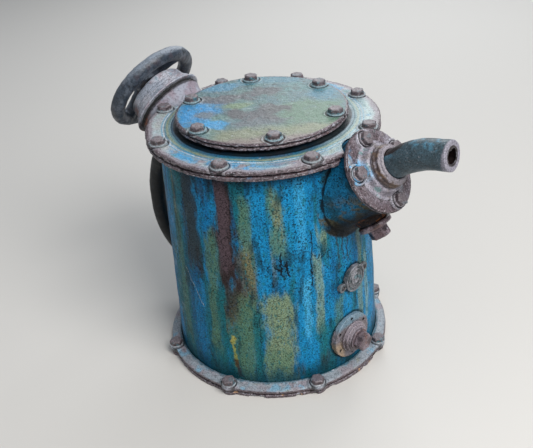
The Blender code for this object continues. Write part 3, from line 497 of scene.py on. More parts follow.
class Paint:
    """A material built up in coats. Sizes are in metres, masks run from 0 to 1."""

    def __init__(self, name, base, roughness=0.6, metallic=0.0, specular=0.5):
        self.material = bpy.data.materials.new(name)
        self.material.use_nodes = True
        self.tree = self.material.node_tree
        self.shader = self.tree.nodes["Principled BSDF"]
        self.shader.inputs["Metallic"].default_value = metallic
        self.shader.inputs["Specular IOR Level"].default_value = specular
        self.position = self.tree.nodes.new("ShaderNodeTexCoord").outputs["Object"]
        self.colour = tint(base)
        self.roughness = roughness
        self.height = None

    def put(self, socket, value):
        """Links a value made by nodes, or sets a plain one."""
        if isinstance(value, Value):
            value = value.socket
        if isinstance(value, bpy.types.NodeSocket):
            self.tree.links.new(value, socket)
        else:
            socket.default_value = value

    def maths(self, operation, *values):
        node = self.tree.nodes.new("ShaderNodeMath")
        node.operation = operation
        for socket, value in zip(node.inputs, values):
            self.put(socket, value)
        return Value(self, node.outputs[0])

    def vector(self, operation, a, b):
        node = self.tree.nodes.new("ShaderNodeVectorMath")
        node.operation = operation
        self.put(node.inputs[0], a)
        self.put(node.inputs[1], b)
        return Value(self, node.outputs["Value" if operation == "DOT_PRODUCT" else "Vector"])

    def fade(self, value, low, high):
        """0 where the value is at low, 1 at high; low may be above high."""
        node = self.tree.nodes.new("ShaderNodeMapRange")
        node.interpolation_type = "SMOOTHSTEP"
        for key, number in (("Value", value), ("From Min", low), ("From Max", high)):
            self.put(node.inputs[key], number)
        return Value(self, node.outputs["Result"])

    def noise(self, size, detail=3.0, stretch=(1, 1, 1), shift=0.0, gain=0.55):
        """Noise about 0.5 with features of about the given size."""
        node = self.tree.nodes.new("ShaderNodeTexNoise")
        moved_by = self.vector("ADD", self.position, (shift, shift * 0.7, -shift * 0.4))
        self.put(node.inputs["Vector"], self.vector("MULTIPLY", moved_by, stretch))
        node.inputs["Scale"].default_value = 1.0 / size
        node.inputs["Detail"].default_value = detail
        node.inputs["Roughness"].default_value = gain
        return Value(self, node.outputs["Fac"])

    def spots(self, size, low, high, detail=3.0, stretch=(1, 1, 1), shift=0.0):
        """A mask of patches of noise."""
        return self.fade(self.noise(size, detail, stretch, shift), low, high)

    def pointiness(self, low, high):
        """A mask of corners, or with low above high, of hollows."""
        geometry = self.tree.nodes.new("ShaderNodeNewGeometry")
        return self.fade(geometry.outputs["Pointiness"], low, high)

    def facing_up(self, low, high):
        """A mask of the faces that look up."""
        normal = self.tree.nodes.new("ShaderNodeNewGeometry").outputs["Normal"]
        return self.fade(self.vector("DOT_PRODUCT", normal, (0.0, 0.0, 1.0)), low, high)

    def axes(self, place):
        """The local x, y and z of a frame, as three sockets."""
        away = self.vector("SUBTRACT", self.position, tuple(place.translation))
        return [self.vector("DOT_PRODUCT", away, tuple(place.col[k][:3])) for k in range(3)]

    def length(self, *parts):
        """The length of a vector from its parts."""
        return self.maths("SQRT", sum(part * part for part in parts))

    def turn(self, x, y):
        """The azimuth of a place, in degrees."""
        return self.maths("ARCTAN2", y, x) * (180.0 / pi)

    def most(self, a, b):
        return self.maths("MAXIMUM", a, b)

    def band(self, value, low, high, blur):
        """A mask of the values from low to high, blurred at both ends."""
        return self.fade(value, low - blur, low + blur) * self.fade(value, high + blur, high - blur)

    def coat(self, colour, mask, strength=1.0):
        """Lays a colour over what is there."""
        node = self.tree.nodes.new("ShaderNodeMix")
        node.data_type = "RGBA"
        self.put(node.inputs[0], mask if strength == 1.0 else mask * strength)
        self.put(node.inputs[6], self.colour)
        self.put(node.inputs[7], tint(colour) if isinstance(colour, str) else colour)
        self.colour = node.outputs[2]

    def patches(self, colour, strength, *spots, within=None, **more):
        """Lays a colour in patches of noise, perhaps only within a mask."""
        mask = self.spots(*spots, **more)
        self.coat(colour, mask if within is None else within * mask, strength)

    def shade(self, amount, mask):
        """Darkens, or with an amount over 1 lightens, what is there."""
        node = self.tree.nodes.new("ShaderNodeMix")
        node.data_type = "RGBA"
        node.blend_type = "MULTIPLY"
        self.put(node.inputs[0], mask)
        self.put(node.inputs[6], self.colour)
        self.put(node.inputs[7], (amount, amount, amount, 1.0))
        self.colour = node.outputs[2]

    def gloss(self, value, mask):
        """Changes the roughness where the mask is."""
        node = self.tree.nodes.new("ShaderNodeMix")
        self.put(node.inputs[0], mask)
        self.put(node.inputs[2], self.roughness)
        self.put(node.inputs[3], value)
        self.roughness = node.outputs[0]

    def raise_by(self, amount, value):
        """Adds relief, in metres, for the fine bump."""
        step = value * amount
        self.height = step if self.height is None else self.height + step

    def done(self):
        """The finished material."""
        self.put(self.shader.inputs["Base Color"], self.colour)
        self.put(self.shader.inputs["Roughness"], self.roughness)
        if self.height is not None:
            bump = self.tree.nodes.new("ShaderNodeBump")
            bump.inputs["Distance"].default_value = 1.0
            self.put(bump.inputs["Height"], self.height)
            self.put(self.shader.inputs["Normal"], bump.outputs["Normal"])
        return self.material


def bolt_distance(paint, x, y, bolts):
    """The distance from the nearest bolt's middle, seen along the frame's Z."""
    circle, start, count = bolts
    step = 2.0 * pi / count
    turn = paint.maths("ARCTAN2", y, x) + (step / 2 - radians(start))
    turn = paint.maths("FLOORED_MODULO", turn, step) - step / 2
    radius = paint.length(x, y)
    return paint.length(radius * paint.maths("COSINE", turn) - circle,
                        radius * paint.maths("SINE", turn))


def halo(paint, distance, radius, width):
    """A soft ring mask round a bolt."""
    return paint.fade(abs(distance - radius), width, width * 0.2)


def grit(paint, grain=0.00025, lumps=0.0004, dark=0.45):
    """The fine sandy skin that every casting has."""
    fine = paint.noise(0.0011, 4.0)
    paint.shade(dark, paint.fade(fine, 0.50, 0.36))
    paint.shade(1.30, paint.fade(fine, 0.54, 0.68))
    paint.raise_by(grain, fine)
    paint.raise_by(lumps, paint.noise(0.005, 3.0, shift=0.31))


# ---------------------------------------------------------------- materials

AZURE, COBALT, TEAL, OLIVE = "177fb2", "0a5a88", "1a646a", "54765f"
CREAM, SAND, MAUVE, PALE_MAUVE = "7d9070", "8a8560", "5d5056", "8b828a"
SILVER, UMBER, CHARCOAL, SHADE_AND_SOOT, RUST = "aeb0bc", "332a2b", "2f3a42", "0d0e11", "6c3a26"
NAVY = "0b2233"

RUN_HEAD, RUN_TAIL = 0.022, 0.030       # heights over which a run fades in and out
# Runs of glaze on the barrel: colour, azimuth and half width in degrees, top, bottom, strength
RUNS = (
    (TEAL, -108.0, 9.0, 0.210, -0.010, 0.85),
    (OLIVE, -109.0, 4.5, 0.165, 0.020, 0.60),
    (SAND, -109.0, 1.0, 0.205, 0.150, 0.60),
    (COBALT, -98.0, 8.0, 0.115, -0.010, 0.75),
    (AZURE, -97.0, 4.0, 0.100, 0.020, 0.55),
    ("0f74ac", -84.0, 5.5, 0.215, 0.115, 0.90),
    (CHARCOAL, -84.0, 5.0, 0.198, 0.168, 0.60),
    (TEAL, -86.0, 7.0, 0.115, -0.010, 0.80),
    (OLIVE, -80.0, 4.0, 0.158, 0.105, 0.75),
    (OLIVE, -83.5, 4.8, 0.150, 0.025, 0.85),
    (TEAL, -73.0, 11.0, 0.104, -0.010, 0.90),
    (OLIVE, -61.5, 5.5, 0.188, 0.100, 0.85),
    (OLIVE, -70.0, 6.5, 0.090, 0.000, 0.55),
    ("5a5440", -65.0, 8.5, 0.144, 0.066, 0.85),
    ("5a5440", -72.0, 5.0, 0.112, 0.060, 0.70),
    (SAND, -62.0, 3.0, 0.150, 0.100, 0.40),
    (OLIVE, -65.0, 7.0, 0.100, -0.010, 0.85),
    (TEAL, -60.0, 3.4, 0.090, -0.010, 0.85),
    (AZURE, -55.0, 4.6, 0.210, 0.100, 0.95),
    (OLIVE, -46.0, 5.2, 0.196, 0.122, 0.85),
    (SAND, -45.5, 3.0, 0.188, 0.145, 0.55),
    (SAND, -49.0, 1.8, 0.140, 0.100, 0.50),
    (AZURE, -34.0, 7.5, 0.210, 0.012, 0.95),
    ("3f9cc8", -33.8, 3.4, 0.205, 0.128, 0.50),
    ("4aa8d4", -33.0, 3.4, 0.112, 0.040, 0.70),
    (AZURE, -45.0, 6.0, 0.132, 0.098, 0.70),
    ("76896f", -48.5, 10.5, 0.104, 0.004, 1.00),
    (OLIVE, -50.0, 9.5, 0.045, -0.010, 0.60),
    (CREAM, -23.0, 3.6, 0.154, 0.124, 0.75),
    (CREAM, -26.0, 3.2, 0.134, 0.045, 0.70),
    (TEAL, -21.0, 7.0, 0.066, -0.010, 0.70),
    (TEAL, -12.0, 3.0, 0.160, 0.070, 0.50),
    (OLIVE, -14.0, 4.0, 0.085, 0.015, 0.65),
    (CREAM, 4.0, 3.5, 0.140, 0.020, 0.60),
    ("7fa0a0", 11.5, 2.8, 0.110, 0.030, 0.70),
    (CREAM, 31.0, 3.5, 0.190, 0.010, 0.70),
    (OLIVE, 60.0, 6.0, 0.190, 0.030, 0.80),
    (TEAL, 84.0, 9.0, 0.170, 0.000, 0.80),
    (CREAM, 112.0, 5.0, 0.130, 0.010, 0.80),
    (OLIVE, 140.0, 6.0, 0.190, 0.040, 0.80),
    (COBALT, 165.0, 9.0, 0.190, 0.000, 0.80),
)
DARK_RUNS = (
    (CHARCOAL, -95.5, 7.5, 0.230, 0.104, 0.92),
    ("2b2a2c", -92.0, 3.0, 0.135, 0.098, 0.60),
    (UMBER, -73.0, 7.0, 0.230, 0.096, 1.00),
    ("5d4d55", -74.0, 4.8, 0.216, 0.114, 0.70),
    (UMBER, -72.5, 4.5, 0.112, 0.070, 0.55),
    (UMBER, -40.0, 4.0, 0.030, 0.008, 0.60),
    (UMBER, -30.0, 3.5, 0.018, 0.000, 0.60),
    (UMBER, -24.0, 4.0, 0.035, 0.012, 0.50),
    (UMBER, -9.0, 6.0, 0.020, 0.000, 0.55),
    (CHARCOAL, 47.0, 4.5, 0.230, 0.110, 0.90),
    (UMBER, 95.0, 5.0, 0.230, 0.090, 0.90),
    (CHARCOAL, 150.0, 5.0, 0.230, 0.060, 0.85),
)
# Thin marks: colour, azimuth and height of both ends, half width in degrees, strength
MARKS = (
    (SHADE_AND_SOOT, -28.4, 0.150, -30.0, 0.100, 0.50, 0.95),
    (CHARCOAL, -13.2, 0.142, -12.4, 0.106, 0.60, 0.70),
    (CHARCOAL, -10.0, 0.146, -9.6, 0.112, 0.55, 0.70),
    (CHARCOAL, -6.4, 0.138, -6.2, 0.108, 0.60, 0.70),
    (SHADE_AND_SOOT, -47.0, 0.130, -43.0, 0.121, 0.60, 0.95),
    (SHADE_AND_SOOT, -45.4, 0.136, -45.8, 0.116, 0.50, 0.95),
    (SHADE_AND_SOOT, -43.6, 0.123, -41.2, 0.113, 0.80, 0.95),
    (SHADE_AND_SOOT, -48.2, 0.124, -44.2, 0.114, 0.80, 0.90),
    (SHADE_AND_SOOT, -42.6, 0.128, -44.0, 0.118, 0.60, 0.90),
    (SHADE_AND_SOOT, -50.6, 0.110, -50.0, 0.105, 0.80, 0.85),
    (SHADE_AND_SOOT, -58.6, 0.090, -59.6, 0.016, 0.35, 0.60),
    ("b9c0b8", -104.8, 0.106, -92.2, 0.076, 0.28, 0.80),
    ("a8a45a", -74.8, 0.0545, -74.8, 0.0465, 1.80, 0.95),
    ("8f9150", -74.9, 0.048, -74.0, 0.022, 1.30, 0.90),
    ("4a3428", -74.6, 0.030, -71.6, 0.012, 1.90, 0.90),
)


def run_mask(paint, azimuth, height, fringe, middle, half, top, bottom):
    """Where one run of glaze lies: an upright stripe with streaky, ragged edges."""
    across = 1.0 - abs(azimuth - middle) / half
    below = (top - height) / RUN_HEAD
    above = (height - bottom) / RUN_TAIL
    inside = paint.maths("MINIMUM", across, paint.maths("MINIMUM", below, above))
    return paint.fade(inside + fringe, 0.0, 0.62)


def mark_mask(paint, azimuth, height, top_turn, top, bottom_turn, bottom, half):
    """Where a thin, slightly crooked mark lies between its two ends."""
    slant = (bottom_turn - top_turn) / (bottom - top)
    line = height * slant + (top_turn - slant * top)
    across = paint.fade(abs(azimuth - line), half, half * 0.4)
    return across * paint.band(height, bottom, top, 0.001)


def glaze():
    """The barrel's blue glaze with its runs, soot and pits, and painted shade under the ring, in
    the hollows and round the drain and badge.
    """
    paint = Paint("glaze", AZURE, roughness=0.5, specular=0.10)
    x, y, height = paint.axes(WORLD)
    azimuth = paint.turn(x, y)
    tall = (1.0, 1.0, 0.16)
    turned = azimuth + (paint.noise(0.030, 2.0, (1.0, 1.0, 0.35)) - 0.5) * 5.0
    paint.patches(COBALT, 0.8, 0.020, 0.45, 0.60, stretch=tall)
    paint.patches(TEAL, 0.8, 0.014, 0.50, 0.62, stretch=tall, shift=0.2)
    fringe = (paint.noise(0.0055, 5.0, (1.0, 1.0, 0.24), 0.7, 0.65) - 0.5) * 1.9
    for colour, *run, strength in RUNS:
        paint.coat(colour, run_mask(paint, turned, height, fringe, *run), strength)
    mottle = paint.noise(0.0030, 5.0, (1.0, 1.0, 0.6), 0.4, 0.65)
    paint.coat(TEAL, paint.fade(mottle, 0.53, 0.65), 0.70)
    paint.coat(AZURE, paint.fade(mottle, 0.43, 0.31), 0.38)
    paint.coat("123038", paint.spots(0.0085, 0.53, 0.66, 5.0, (1.0, 1.0, 0.3), 0.62), 0.65)
    for colour, *run, strength in DARK_RUNS:
        paint.coat(colour, run_mask(paint, turned, height, fringe, *run), strength)
    crooked = azimuth + (paint.noise(0.006, 4.0) - 0.5) * 5.0
    for colour, *mark, strength in MARKS:
        paint.coat(colour, mark_mask(paint, crooked, height, *mark), strength)
    ragged_height = height + fringe * 0.01
    # Painted shade: navy under the top ring.
    paint.coat(NAVY, paint.fade(ragged_height, 0.188, 0.202), 0.85)
    # Darker teal towards the bottom.
    paint.coat("123f4c", paint.fade(ragged_height, 0.030, 0.012), 0.75)
    paint_contact_shadows(paint)
    colour_branches(paint)
    patches = paint.spots(0.020, 0.44, 0.56, 2.0, shift=0.55)
    specks = paint.fade(paint.noise(0.0017, 3.0, shift=0.15), 0.57, 0.64)
    paint.coat(SHADE_AND_SOOT, patches * specks * paint.fade(height, 0.035, 0.115), 0.8)
    # Painted shade and soot in the hollows.
    paint.coat(SHADE_AND_SOOT, paint.pointiness(0.485, 0.455), 0.9)
    paint.coat(CREAM, paint.pointiness(0.54, 0.60), 0.35)
    grit(paint, 0.0003, 0.0003, 0.35)
    colour_stub(paint)
    paint.raise_by(-0.0004, specks)
    paint.gloss(0.32, paint.spots(0.012, 0.5, 0.7, shift=0.8))
    return paint.done()


def paint_contact_shadows(paint):
    """Painted shadow: dark lines on the barrel round the drain's flange and the badge."""
    for place, reach in ((DRAIN, 0.0212), (BADGE, 0.0124)):
        x, y, depth = paint.axes(place)
        near = paint.fade(paint.length(x, y), reach + 0.0018, reach)
        paint.coat("0c1013", near * paint.fade(depth, -0.012, -0.006), 0.75)


def colour_branches(paint):
    """The outlet branch and the clean-out boss, which differ from the barrel."""
    x, y, along = paint.axes(BRANCH)
    cone = BRANCH_ROOT_RADIUS - (along - BRANCH_ROOT) * BRANCH_TAPER
    off = abs(paint.length(x, y) - cone)
    branch = paint.fade(off, 0.0045, 0.0025) * paint.fade(along, 0.072, 0.078)
    paint.coat("1a6a92", branch, 0.75)
    paint.patches("17393f", 0.7, 0.012, 0.46, 0.58, 4.0, shift=2.1, within=branch)
    under = branch * paint.fade(y, 0.002, -0.014)
    paint.patches("5a5236", 0.85, 0.01, 0.46, 0.58, 4.0, shift=2.6, within=under)
    shell = paint.length(*paint.axes(WORLD)[:2]) - SHELL_RADIUS
    wander = (paint.noise(0.006, 3.0) - 0.5) * 0.003
    root = abs(paint.most(abs(shell), off) + wander)
    # Painted shade on the branch's underside.
    paint.coat("14100f", branch * paint.fade(y, -0.013, -0.025), 0.9)
    # Painted shade: a thin black line in the crease where the branch meets the barrel.
    paint.coat("080d10", paint.fade(root, 0.0013, 0.0005) * paint.fade(along, 0.066, 0.07), 0.9)
    x, y, along = paint.axes(CLEANOUT)
    boss = paint.fade(paint.length(x, y), 0.0165, 0.015) * paint.fade(along, 0.0255, 0.0285)
    paint.coat("241d1d", boss, 0.95)
    paint.patches("7a4a2a", 0.7, 0.006, 0.5, 0.6, shift=1.7, within=boss)


def colour_stub(paint):
    """The valve's stub: smooth silvery iron, rusty below."""
    x, y, along = paint.axes(VALVE)
    stub = paint.fade(paint.length(x, y), 0.0345, 0.0335) * paint.fade(along, 0.084, 0.088)
    paint.coat("9c9eab", stub)
    paint.patches("8d7f8a", 0.8, 0.012, 0.42, 0.62, shift=0.6, within=stub)
    paint.patches("6f8798", 0.5, 0.009, 0.54, 0.68, shift=0.9, within=stub)
    low = stub * paint.fade(y, 0.014, -0.004)
    paint.coat("4b3632", low, 0.85)
    paint.patches("8a4c28", 0.75, 0.01, 0.46, 0.58, shift=1.6, within=low)
    paint.coat("1b1718", stub * paint.fade(along, 0.1268, 0.1282), 0.85)
    paint.patches(SHADE_AND_SOOT, 0.5, 0.0022, 0.6, 0.7, 4.0, shift=1.2, within=stub)
    paint.gloss(0.40, stub)


def iron_edge(paint, mask):
    """Bare mauve-brown iron with paler flecks and small painted highlights, laid where the mask is.
    """
    paint.coat(MAUVE, mask)
    fleck = paint.noise(0.0018, 4.0, shift=0.5)
    paint.coat(UMBER, mask * paint.fade(fleck, 0.5, 0.36), 0.85)
    paint.coat(PALE_MAUVE, mask * paint.fade(fleck, 0.56, 0.68), 0.8)
    # Painted highlights: small pale glints on the edge.
    glint = mask * paint.spots(0.0013, 0.62, 0.7, 2.0, (1, 1, 2.5), 3.3)
    paint.coat("d3cfd6", glint, 0.7)
    paint.gloss(0.34, mask)


# Bands round the neck: colour, inner and outer radius, strength
RING_BANDS = (
    # Painted shade: the dark blue band next to the neck, beside the lid.
    ("16506e", 0.0700, 0.0742, 0.85),
    ("2c6f7c", 0.0742, 0.0760, 0.75),
    ("7d8a72", 0.0762, 0.0782, 0.80),
    ("2f7f9c", 0.0784, 0.0794, 0.70),
    # Painted highlight: the pale silver line round the step.
    ("b9c4cc", 0.0797, 0.0807, 0.85),
    ("4a93b8", 0.0810, 0.0822, 0.60),
    ("97a2a2", 0.0826, 0.0832, 0.60),
)


def ring_paint():
    """The top ring: pale blue and cream on the face, mauve iron on the edge."""
    paint = Paint("ring_paint", PALE_MAUVE, roughness=0.42)
    x, y, height = paint.axes(WORLD)
    radius = paint.length(x, y)
    paint.patches("6797a6", 0.8, 0.030, 0.42, 0.60, shift=0.1)
    paint.patches("3f94c2", 0.85, 0.022, 0.50, 0.62, shift=0.3)
    paint.patches("8f9478", 0.7, 0.018, 0.52, 0.64, shift=0.6)
    paint.patches("437f7c", 0.7, 0.012, 0.54, 0.66, shift=0.9)
    azimuth = paint.turn(x, y)
    waves = paint.noise(0.018, 5.0) - 0.5
    worn = radius + waves * 0.01
    true = radius + waves * 0.0022
    front = paint.fade(abs(azimuth + 82.0), 46.0, 24.0)
    paint.patches("3b93c6", 0.85, 0.014, 0.42, 0.54, shift=4.1, within=front)
    left = paint.fade(azimuth, -100.0, -114.0)
    paint.coat("a9b3ae", paint.most(left, paint.fade(azimuth, 150.0, 165.0)), 0.75)
    paint.patches("a6a6ac", 0.7, 0.012, 0.44, 0.58, shift=6.2, within=left)
    right = paint.fade(abs(azimuth - 22.0), 44.0, 26.0)
    paint.patches("adc0be", 0.85, 0.008, 0.36, 0.52, 5.0, shift=2.2, within=right)
    outer = paint.fade(worn, 0.0865, 0.0885)
    paint.patches("a9b6bb", 0.7, 0.010, 0.40, 0.56, shift=5.2, within=outer)
    for colour, inner, outer, strength in RING_BANDS:
        inside = paint.band(true, inner - 0.00015, outer + 0.00015, 0.00045)
        paint.coat(colour, inside, strength)
    paint.coat("a3b3b2", right, 0.35)
    # Painted shade: black round the neck, beside the raised lid.
    paint.coat("071017", paint.fade(true, 0.0726, 0.0712), 0.95)
    paint.coat(PALE_MAUVE, paint.fade(worn, 0.0885, 0.0915), 0.9)
    iron_edge(paint, paint.most(paint.fade(worn, 0.0920, 0.0942),
                                paint.fade(height, RING_TOP - 0.0006, RING_TOP - 0.0012)))
    near = bolt_distance(paint, x, y, RING_BOLTS)
    # Painted shade: a dark ring round each washer, in its groove.
    paint.coat("1c1b20", halo(paint, near, WASHER + 0.0005, 0.0011), 0.9)
    paint.coat("a7a7ae", halo(paint, near, WASHER + 0.0020, 0.0010), 0.45)
    soot_shade_and_wear(paint)
    return paint.done()


def soot_shade_and_wear(paint, hollow_soot_and_shade=0.9, shine=0.8):
    """Painted shade and soot in the hollows, and silver on the corners that is partly worn iron and
    partly painted highlight, then the sandy skin.
    """
    paint.coat(SHADE_AND_SOOT, paint.pointiness(0.49, 0.44), hollow_soot_and_shade)
    paint.coat(SILVER, paint.pointiness(0.525, 0.58) * paint.spots(0.003, 0.38, 0.56, shift=0.25),
               shine)
    grit(paint)
    paint.gloss(0.38, paint.spots(0.009, 0.48, 0.66, shift=0.75))


def flange_paint(name, blue=0.35):
    """The rough iron of a flange's edge and underside."""
    paint = Paint(name, MAUVE, roughness=0.55)
    iron_edge(paint, 1.0)
    paint.patches("2f86b8", blue, 0.008, 0.60, 0.70, shift=0.4)
    paint.patches(RUST, 0.5, 0.010, 0.60, 0.72, shift=1.1)
    soot_shade_and_wear(paint)
    return paint.done()


# Patches on the lid: colour, place and radius along and across the front, strength
LID_PATCHES = (
    ("41788c", 0.014, -0.060, 0.040, 0.010, 0.85),
    ("3f7f9f", -0.035, -0.051, 0.018, 0.011, 0.90),
    ("3b7890", 0.052, -0.022, 0.015, 0.024, 0.85),
    ("4d7d7e", 0.030, -0.034, 0.024, 0.012, 0.70),
    ("55765f", 0.034, 0.018, 0.034, 0.030, 0.90),
    ("6f8560", -0.019, -0.006, 0.014, 0.007, 0.80),
    ("2384bc", -0.051, 0.004, 0.020, 0.026, 1.00),
    ("2f93c9", -0.036, 0.027, 0.014, 0.012, 0.90),
    ("565f66", -0.004, 0.030, 0.026, 0.011, 0.90),
    ("49464c", -0.021, 0.011, 0.011, 0.012, 0.90),
    ("4b494f", 0.002, 0.009, 0.018, 0.017, 0.90),
    ("55555b", -0.031, -0.025, 0.027, 0.010, 0.90),
    ("4f5056", 0.004, -0.031, 0.026, 0.011, 0.90),
    ("5f6d79", -0.044, 0.009, 0.010, 0.009, 0.95),
)


def lid_paint():
    """The lid: teal, azure and brown patches on the face, mauve iron on the edge."""
    paint = Paint("lid_paint", "4c6c73", roughness=0.42)
    x, y, height = paint.axes(WORLD)
    across = paint.vector("DOT_PRODUCT", paint.position, (0.66, -0.75, 0.0))
    along = paint.vector("DOT_PRODUCT", paint.position, (0.75, 0.66, 0.0))
    wander = (paint.noise(0.014, 6.0) - 0.5) * 2.6
    paint.patches("587c74", 0.6, 0.020, 0.44, 0.60, shift=1.3)
    for colour, middle_along, middle_across, half_along, half_across, strength in LID_PATCHES:
        reach = paint.length((along - middle_along) / half_along,
                             (across - middle_across) / half_across)
        paint.coat(colour, paint.fade(reach + wander, 1.20, 0.55), strength)
    front = across + wander * 0.008
    paint.coat("7c8065", paint.fade(front, 0.034, 0.046) * paint.fade(along, -0.046, -0.03), 0.85)
    paint.coat("7a6a6a", paint.fade(front, 0.052, 0.062), 0.85)
    paint.patches("33343a", 0.7, 0.0045, 0.58, 0.68, 5.0, shift=1.9)
    paint.patches("9aa3a8", 0.5, 0.0035, 0.64, 0.72, 5.0, shift=2.9)
    iron_edge(paint, paint.most(paint.fade(paint.length(x, y), 0.0668, 0.0686),
                                paint.fade(height, LID_TOP - 0.0006, LID_TOP - 0.0011)))
    near = bolt_distance(paint, x, y, LID_BOLTS)
    # Painted shade: a dark ring round each washer, in its groove.
    paint.coat("1c1c22", halo(paint, near, WASHER + 0.0005, 0.0011), 0.9)
    paint.coat("8f9a9c", halo(paint, near, WASHER + 0.0019, 0.0009), 0.5)
    soot_shade_and_wear(paint)
    return paint.done()


def base_paint():
    """The foot flange: pale grey-mauve and blue, darker where it meets the barrel."""
    paint = Paint("base_paint", "8b939c", roughness=0.42)
    x, y, height = paint.axes(WORLD)
    paint.patches("8a828a", 0.9, 0.020, 0.44, 0.60)
    paint.patches("6f9db6", 0.8, 0.014, 0.54, 0.66, shift=0.5)
    paint.patches("9a9c90", 0.6, 0.011, 0.58, 0.70, shift=0.8)
    iron_edge(paint, paint.fade(height, 0.0072, 0.0060))
    near = bolt_distance(paint, x, y, BASE_BOLTS)
    # Painted shade: a dark ring round each washer, in its groove.
    paint.coat("2c2c30", halo(paint, near, BASE_WASHER + 0.0004, 0.0010), 0.85)
    foot = paint.length(x, y) + (paint.noise(0.008) - 0.5) * 0.004
    paint.coat("1a5264", paint.fade(foot, 0.0932, 0.0912), 0.85)
    soot_shade_and_wear(paint)
    return paint.done()


def chipped_paint():
    """The lowest plate: dark iron whose broken edge shows the tan body."""
    paint = Paint("chipped_paint", UMBER, roughness=0.6)
    iron_edge(paint, 1.0)
    paint.patches("b08a6a", 0.85, 0.007, 0.60, 0.66, shift=0.2)
    soot_shade_and_wear(paint)
    return paint.done()


def outlet_paint():
    """The outlet flange: silvery mauve iron with a little blue at the upper left."""
    paint = Paint("outlet_paint", "79747f", roughness=0.42)
    x, y, height = paint.axes(BRANCH)
    paint.patches("9f9ba6", 0.8, 0.010, 0.42, 0.60)
    paint.patches("746a68", 0.6, 0.007, 0.54, 0.66, shift=0.5)
    left = paint.fade(x, -0.013, -0.021) * paint.fade(y, -0.003, 0.005)
    paint.coat("a7b7c4", left, 0.75)
    paint.patches("55b2e8", 0.85, 0.009, 0.42, 0.52, shift=0.9, within=left)
    paint.patches("5f9c9a", 0.5, 0.008, 0.60, 0.70, shift=1.4)
    iron_edge(paint, paint.most(paint.fade(paint.length(x, y), 0.0316, 0.0326),
                                paint.fade(height, OUTLET_FACE - 0.0008, OUTLET_FACE - 0.0015)))
    # Painted shade: a dark ring round each washer, in its groove.
    for bolt_x, bolt_y in OUTLET_PLACES:
        away = paint.length(x - bolt_x, y - bolt_y)
        paint.coat("262428", halo(paint, away, OUTLET_WASHER + 0.0004, 0.0009), 0.85)
    soot_shade_and_wear(paint)
    return paint.done()


def iron(name, base, light, dark, warm, roughness=0.5, warm_share=0.5, top=None):
    """A plain iron casting in four tones, and perhaps a fifth, painted light, where it faces up."""
    paint = Paint(name, base, roughness=roughness, specular=0.4)
    paint.patches(light, 0.8, 0.008, 0.48, 0.64)
    paint.patches(dark, 0.8, 0.006, 0.52, 0.66, shift=0.4)
    paint.coat(warm, paint.spots(0.009, 0.54, 0.66, shift=0.8), warm_share)
    # Painted light from above: the faces that look up take the top tone.
    if top:
        paint.coat(top, paint.facing_up(0.30, 0.95), 0.75)
    soot_shade_and_wear(paint)
    return paint.done()


def collar_paint():
    """Rusty brown below, with a silver lip round the spout."""
    paint = Paint("collar_paint", "4c3f3d", roughness=0.5)
    height = paint.axes(BRANCH)[2]
    paint.patches("6d5640", 0.7, 0.006, 0.50, 0.62, 4.0, shift=0.3)
    paint.patches("7d757c", 0.8, 0.004, 0.52, 0.64, 4.0, shift=0.6)
    worn = height + paint.noise(0.004, 3.0) * 0.003
    paint.coat("8d8790", paint.fade(worn, OUTLET_FACE + 0.0130, OUTLET_FACE + 0.0142), 0.9)
    paint.coat("9b98a0", paint.fade(worn, OUTLET_FACE + 0.0088, OUTLET_FACE + 0.0074), 0.6)
    soot_shade_and_wear(paint)
    return paint.done()


def bolt_paint(name, place, level, washer_tone):
    """Bolts: mauve-brown heads on washers of the plate's own colour."""
    paint = Paint(name, "564b4f", roughness=0.48)
    height = paint.axes(place)[2]
    paint.patches("6a6066", 0.8, 0.005, 0.46, 0.60)
    paint.patches("3a3032", 0.8, 0.004, 0.54, 0.66, shift=0.4)
    paint.patches("2f6f7c", 0.7, 0.006, 0.56, 0.64, shift=0.9)
    # Painted highlight: the tops of the heads lighter.
    top = paint.fade(height, level + 0.0038, level + 0.0045)
    paint.coat("7d757b", top, 0.6)
    paint.coat(washer_tone, paint.fade(height, level + 0.0015, level + 0.0009), 0.85)
    soot_shade_and_wear(paint)
    return paint.done()


def rubber():
    """Black rubber for the gaskets."""
    paint = Paint("rubber", "17181a", roughness=0.8)
    paint.patches("2a2a2c", 0.6, 0.004, 0.45, 0.6)
    grit(paint, 0.0001, 0.0001)
    return paint.done()


def metal(name, base, stain, roughness):
    """Bare machined metal with stains."""
    paint = Paint(name, base, roughness=roughness, metallic=1.0)
    paint.patches(stain, 0.7, 0.005, 0.5, 0.65)
    paint.raise_by(0.00008, paint.noise(0.0008, 2.0))
    return paint.done()


def spout_paint():
    """The spout: dark grey-green, bluer on top, with bare iron and rust at the mouth."""
    paint = Paint("spout_paint", "394d57", roughness=0.5)
    x = paint.axes(WORLD)[0]
    paint.patches("2e3e45", 0.8, 0.012, 0.46, 0.62)
    blue = paint.spots(0.010, 0.44, 0.60, shift=0.7)
    paint.coat("4f8aa6", paint.facing_up(0.30, 0.85) * blue, 0.8)
    paint.patches("84868e", 0.6, 0.0016, 0.60, 0.70, shift=0.2)
    paint.patches("25323a", 0.7, 0.0022, 0.58, 0.66, shift=0.5)
    tip = paint.fade(x + paint.noise(0.006) * 0.004, 0.1665, 0.169)
    paint.coat("8d8995", tip, 0.9)
    from_middle = paint.length(*paint.axes(TAIL)[:2])
    paint.coat("1c0f0e", paint.fade(from_middle, SPOUT_BORE + 0.0010, SPOUT_BORE + 0.0002))
    soot_shade_and_wear(paint, shine=0.4)
    return paint.done()


# ---------------------------------------------------------------- the castings

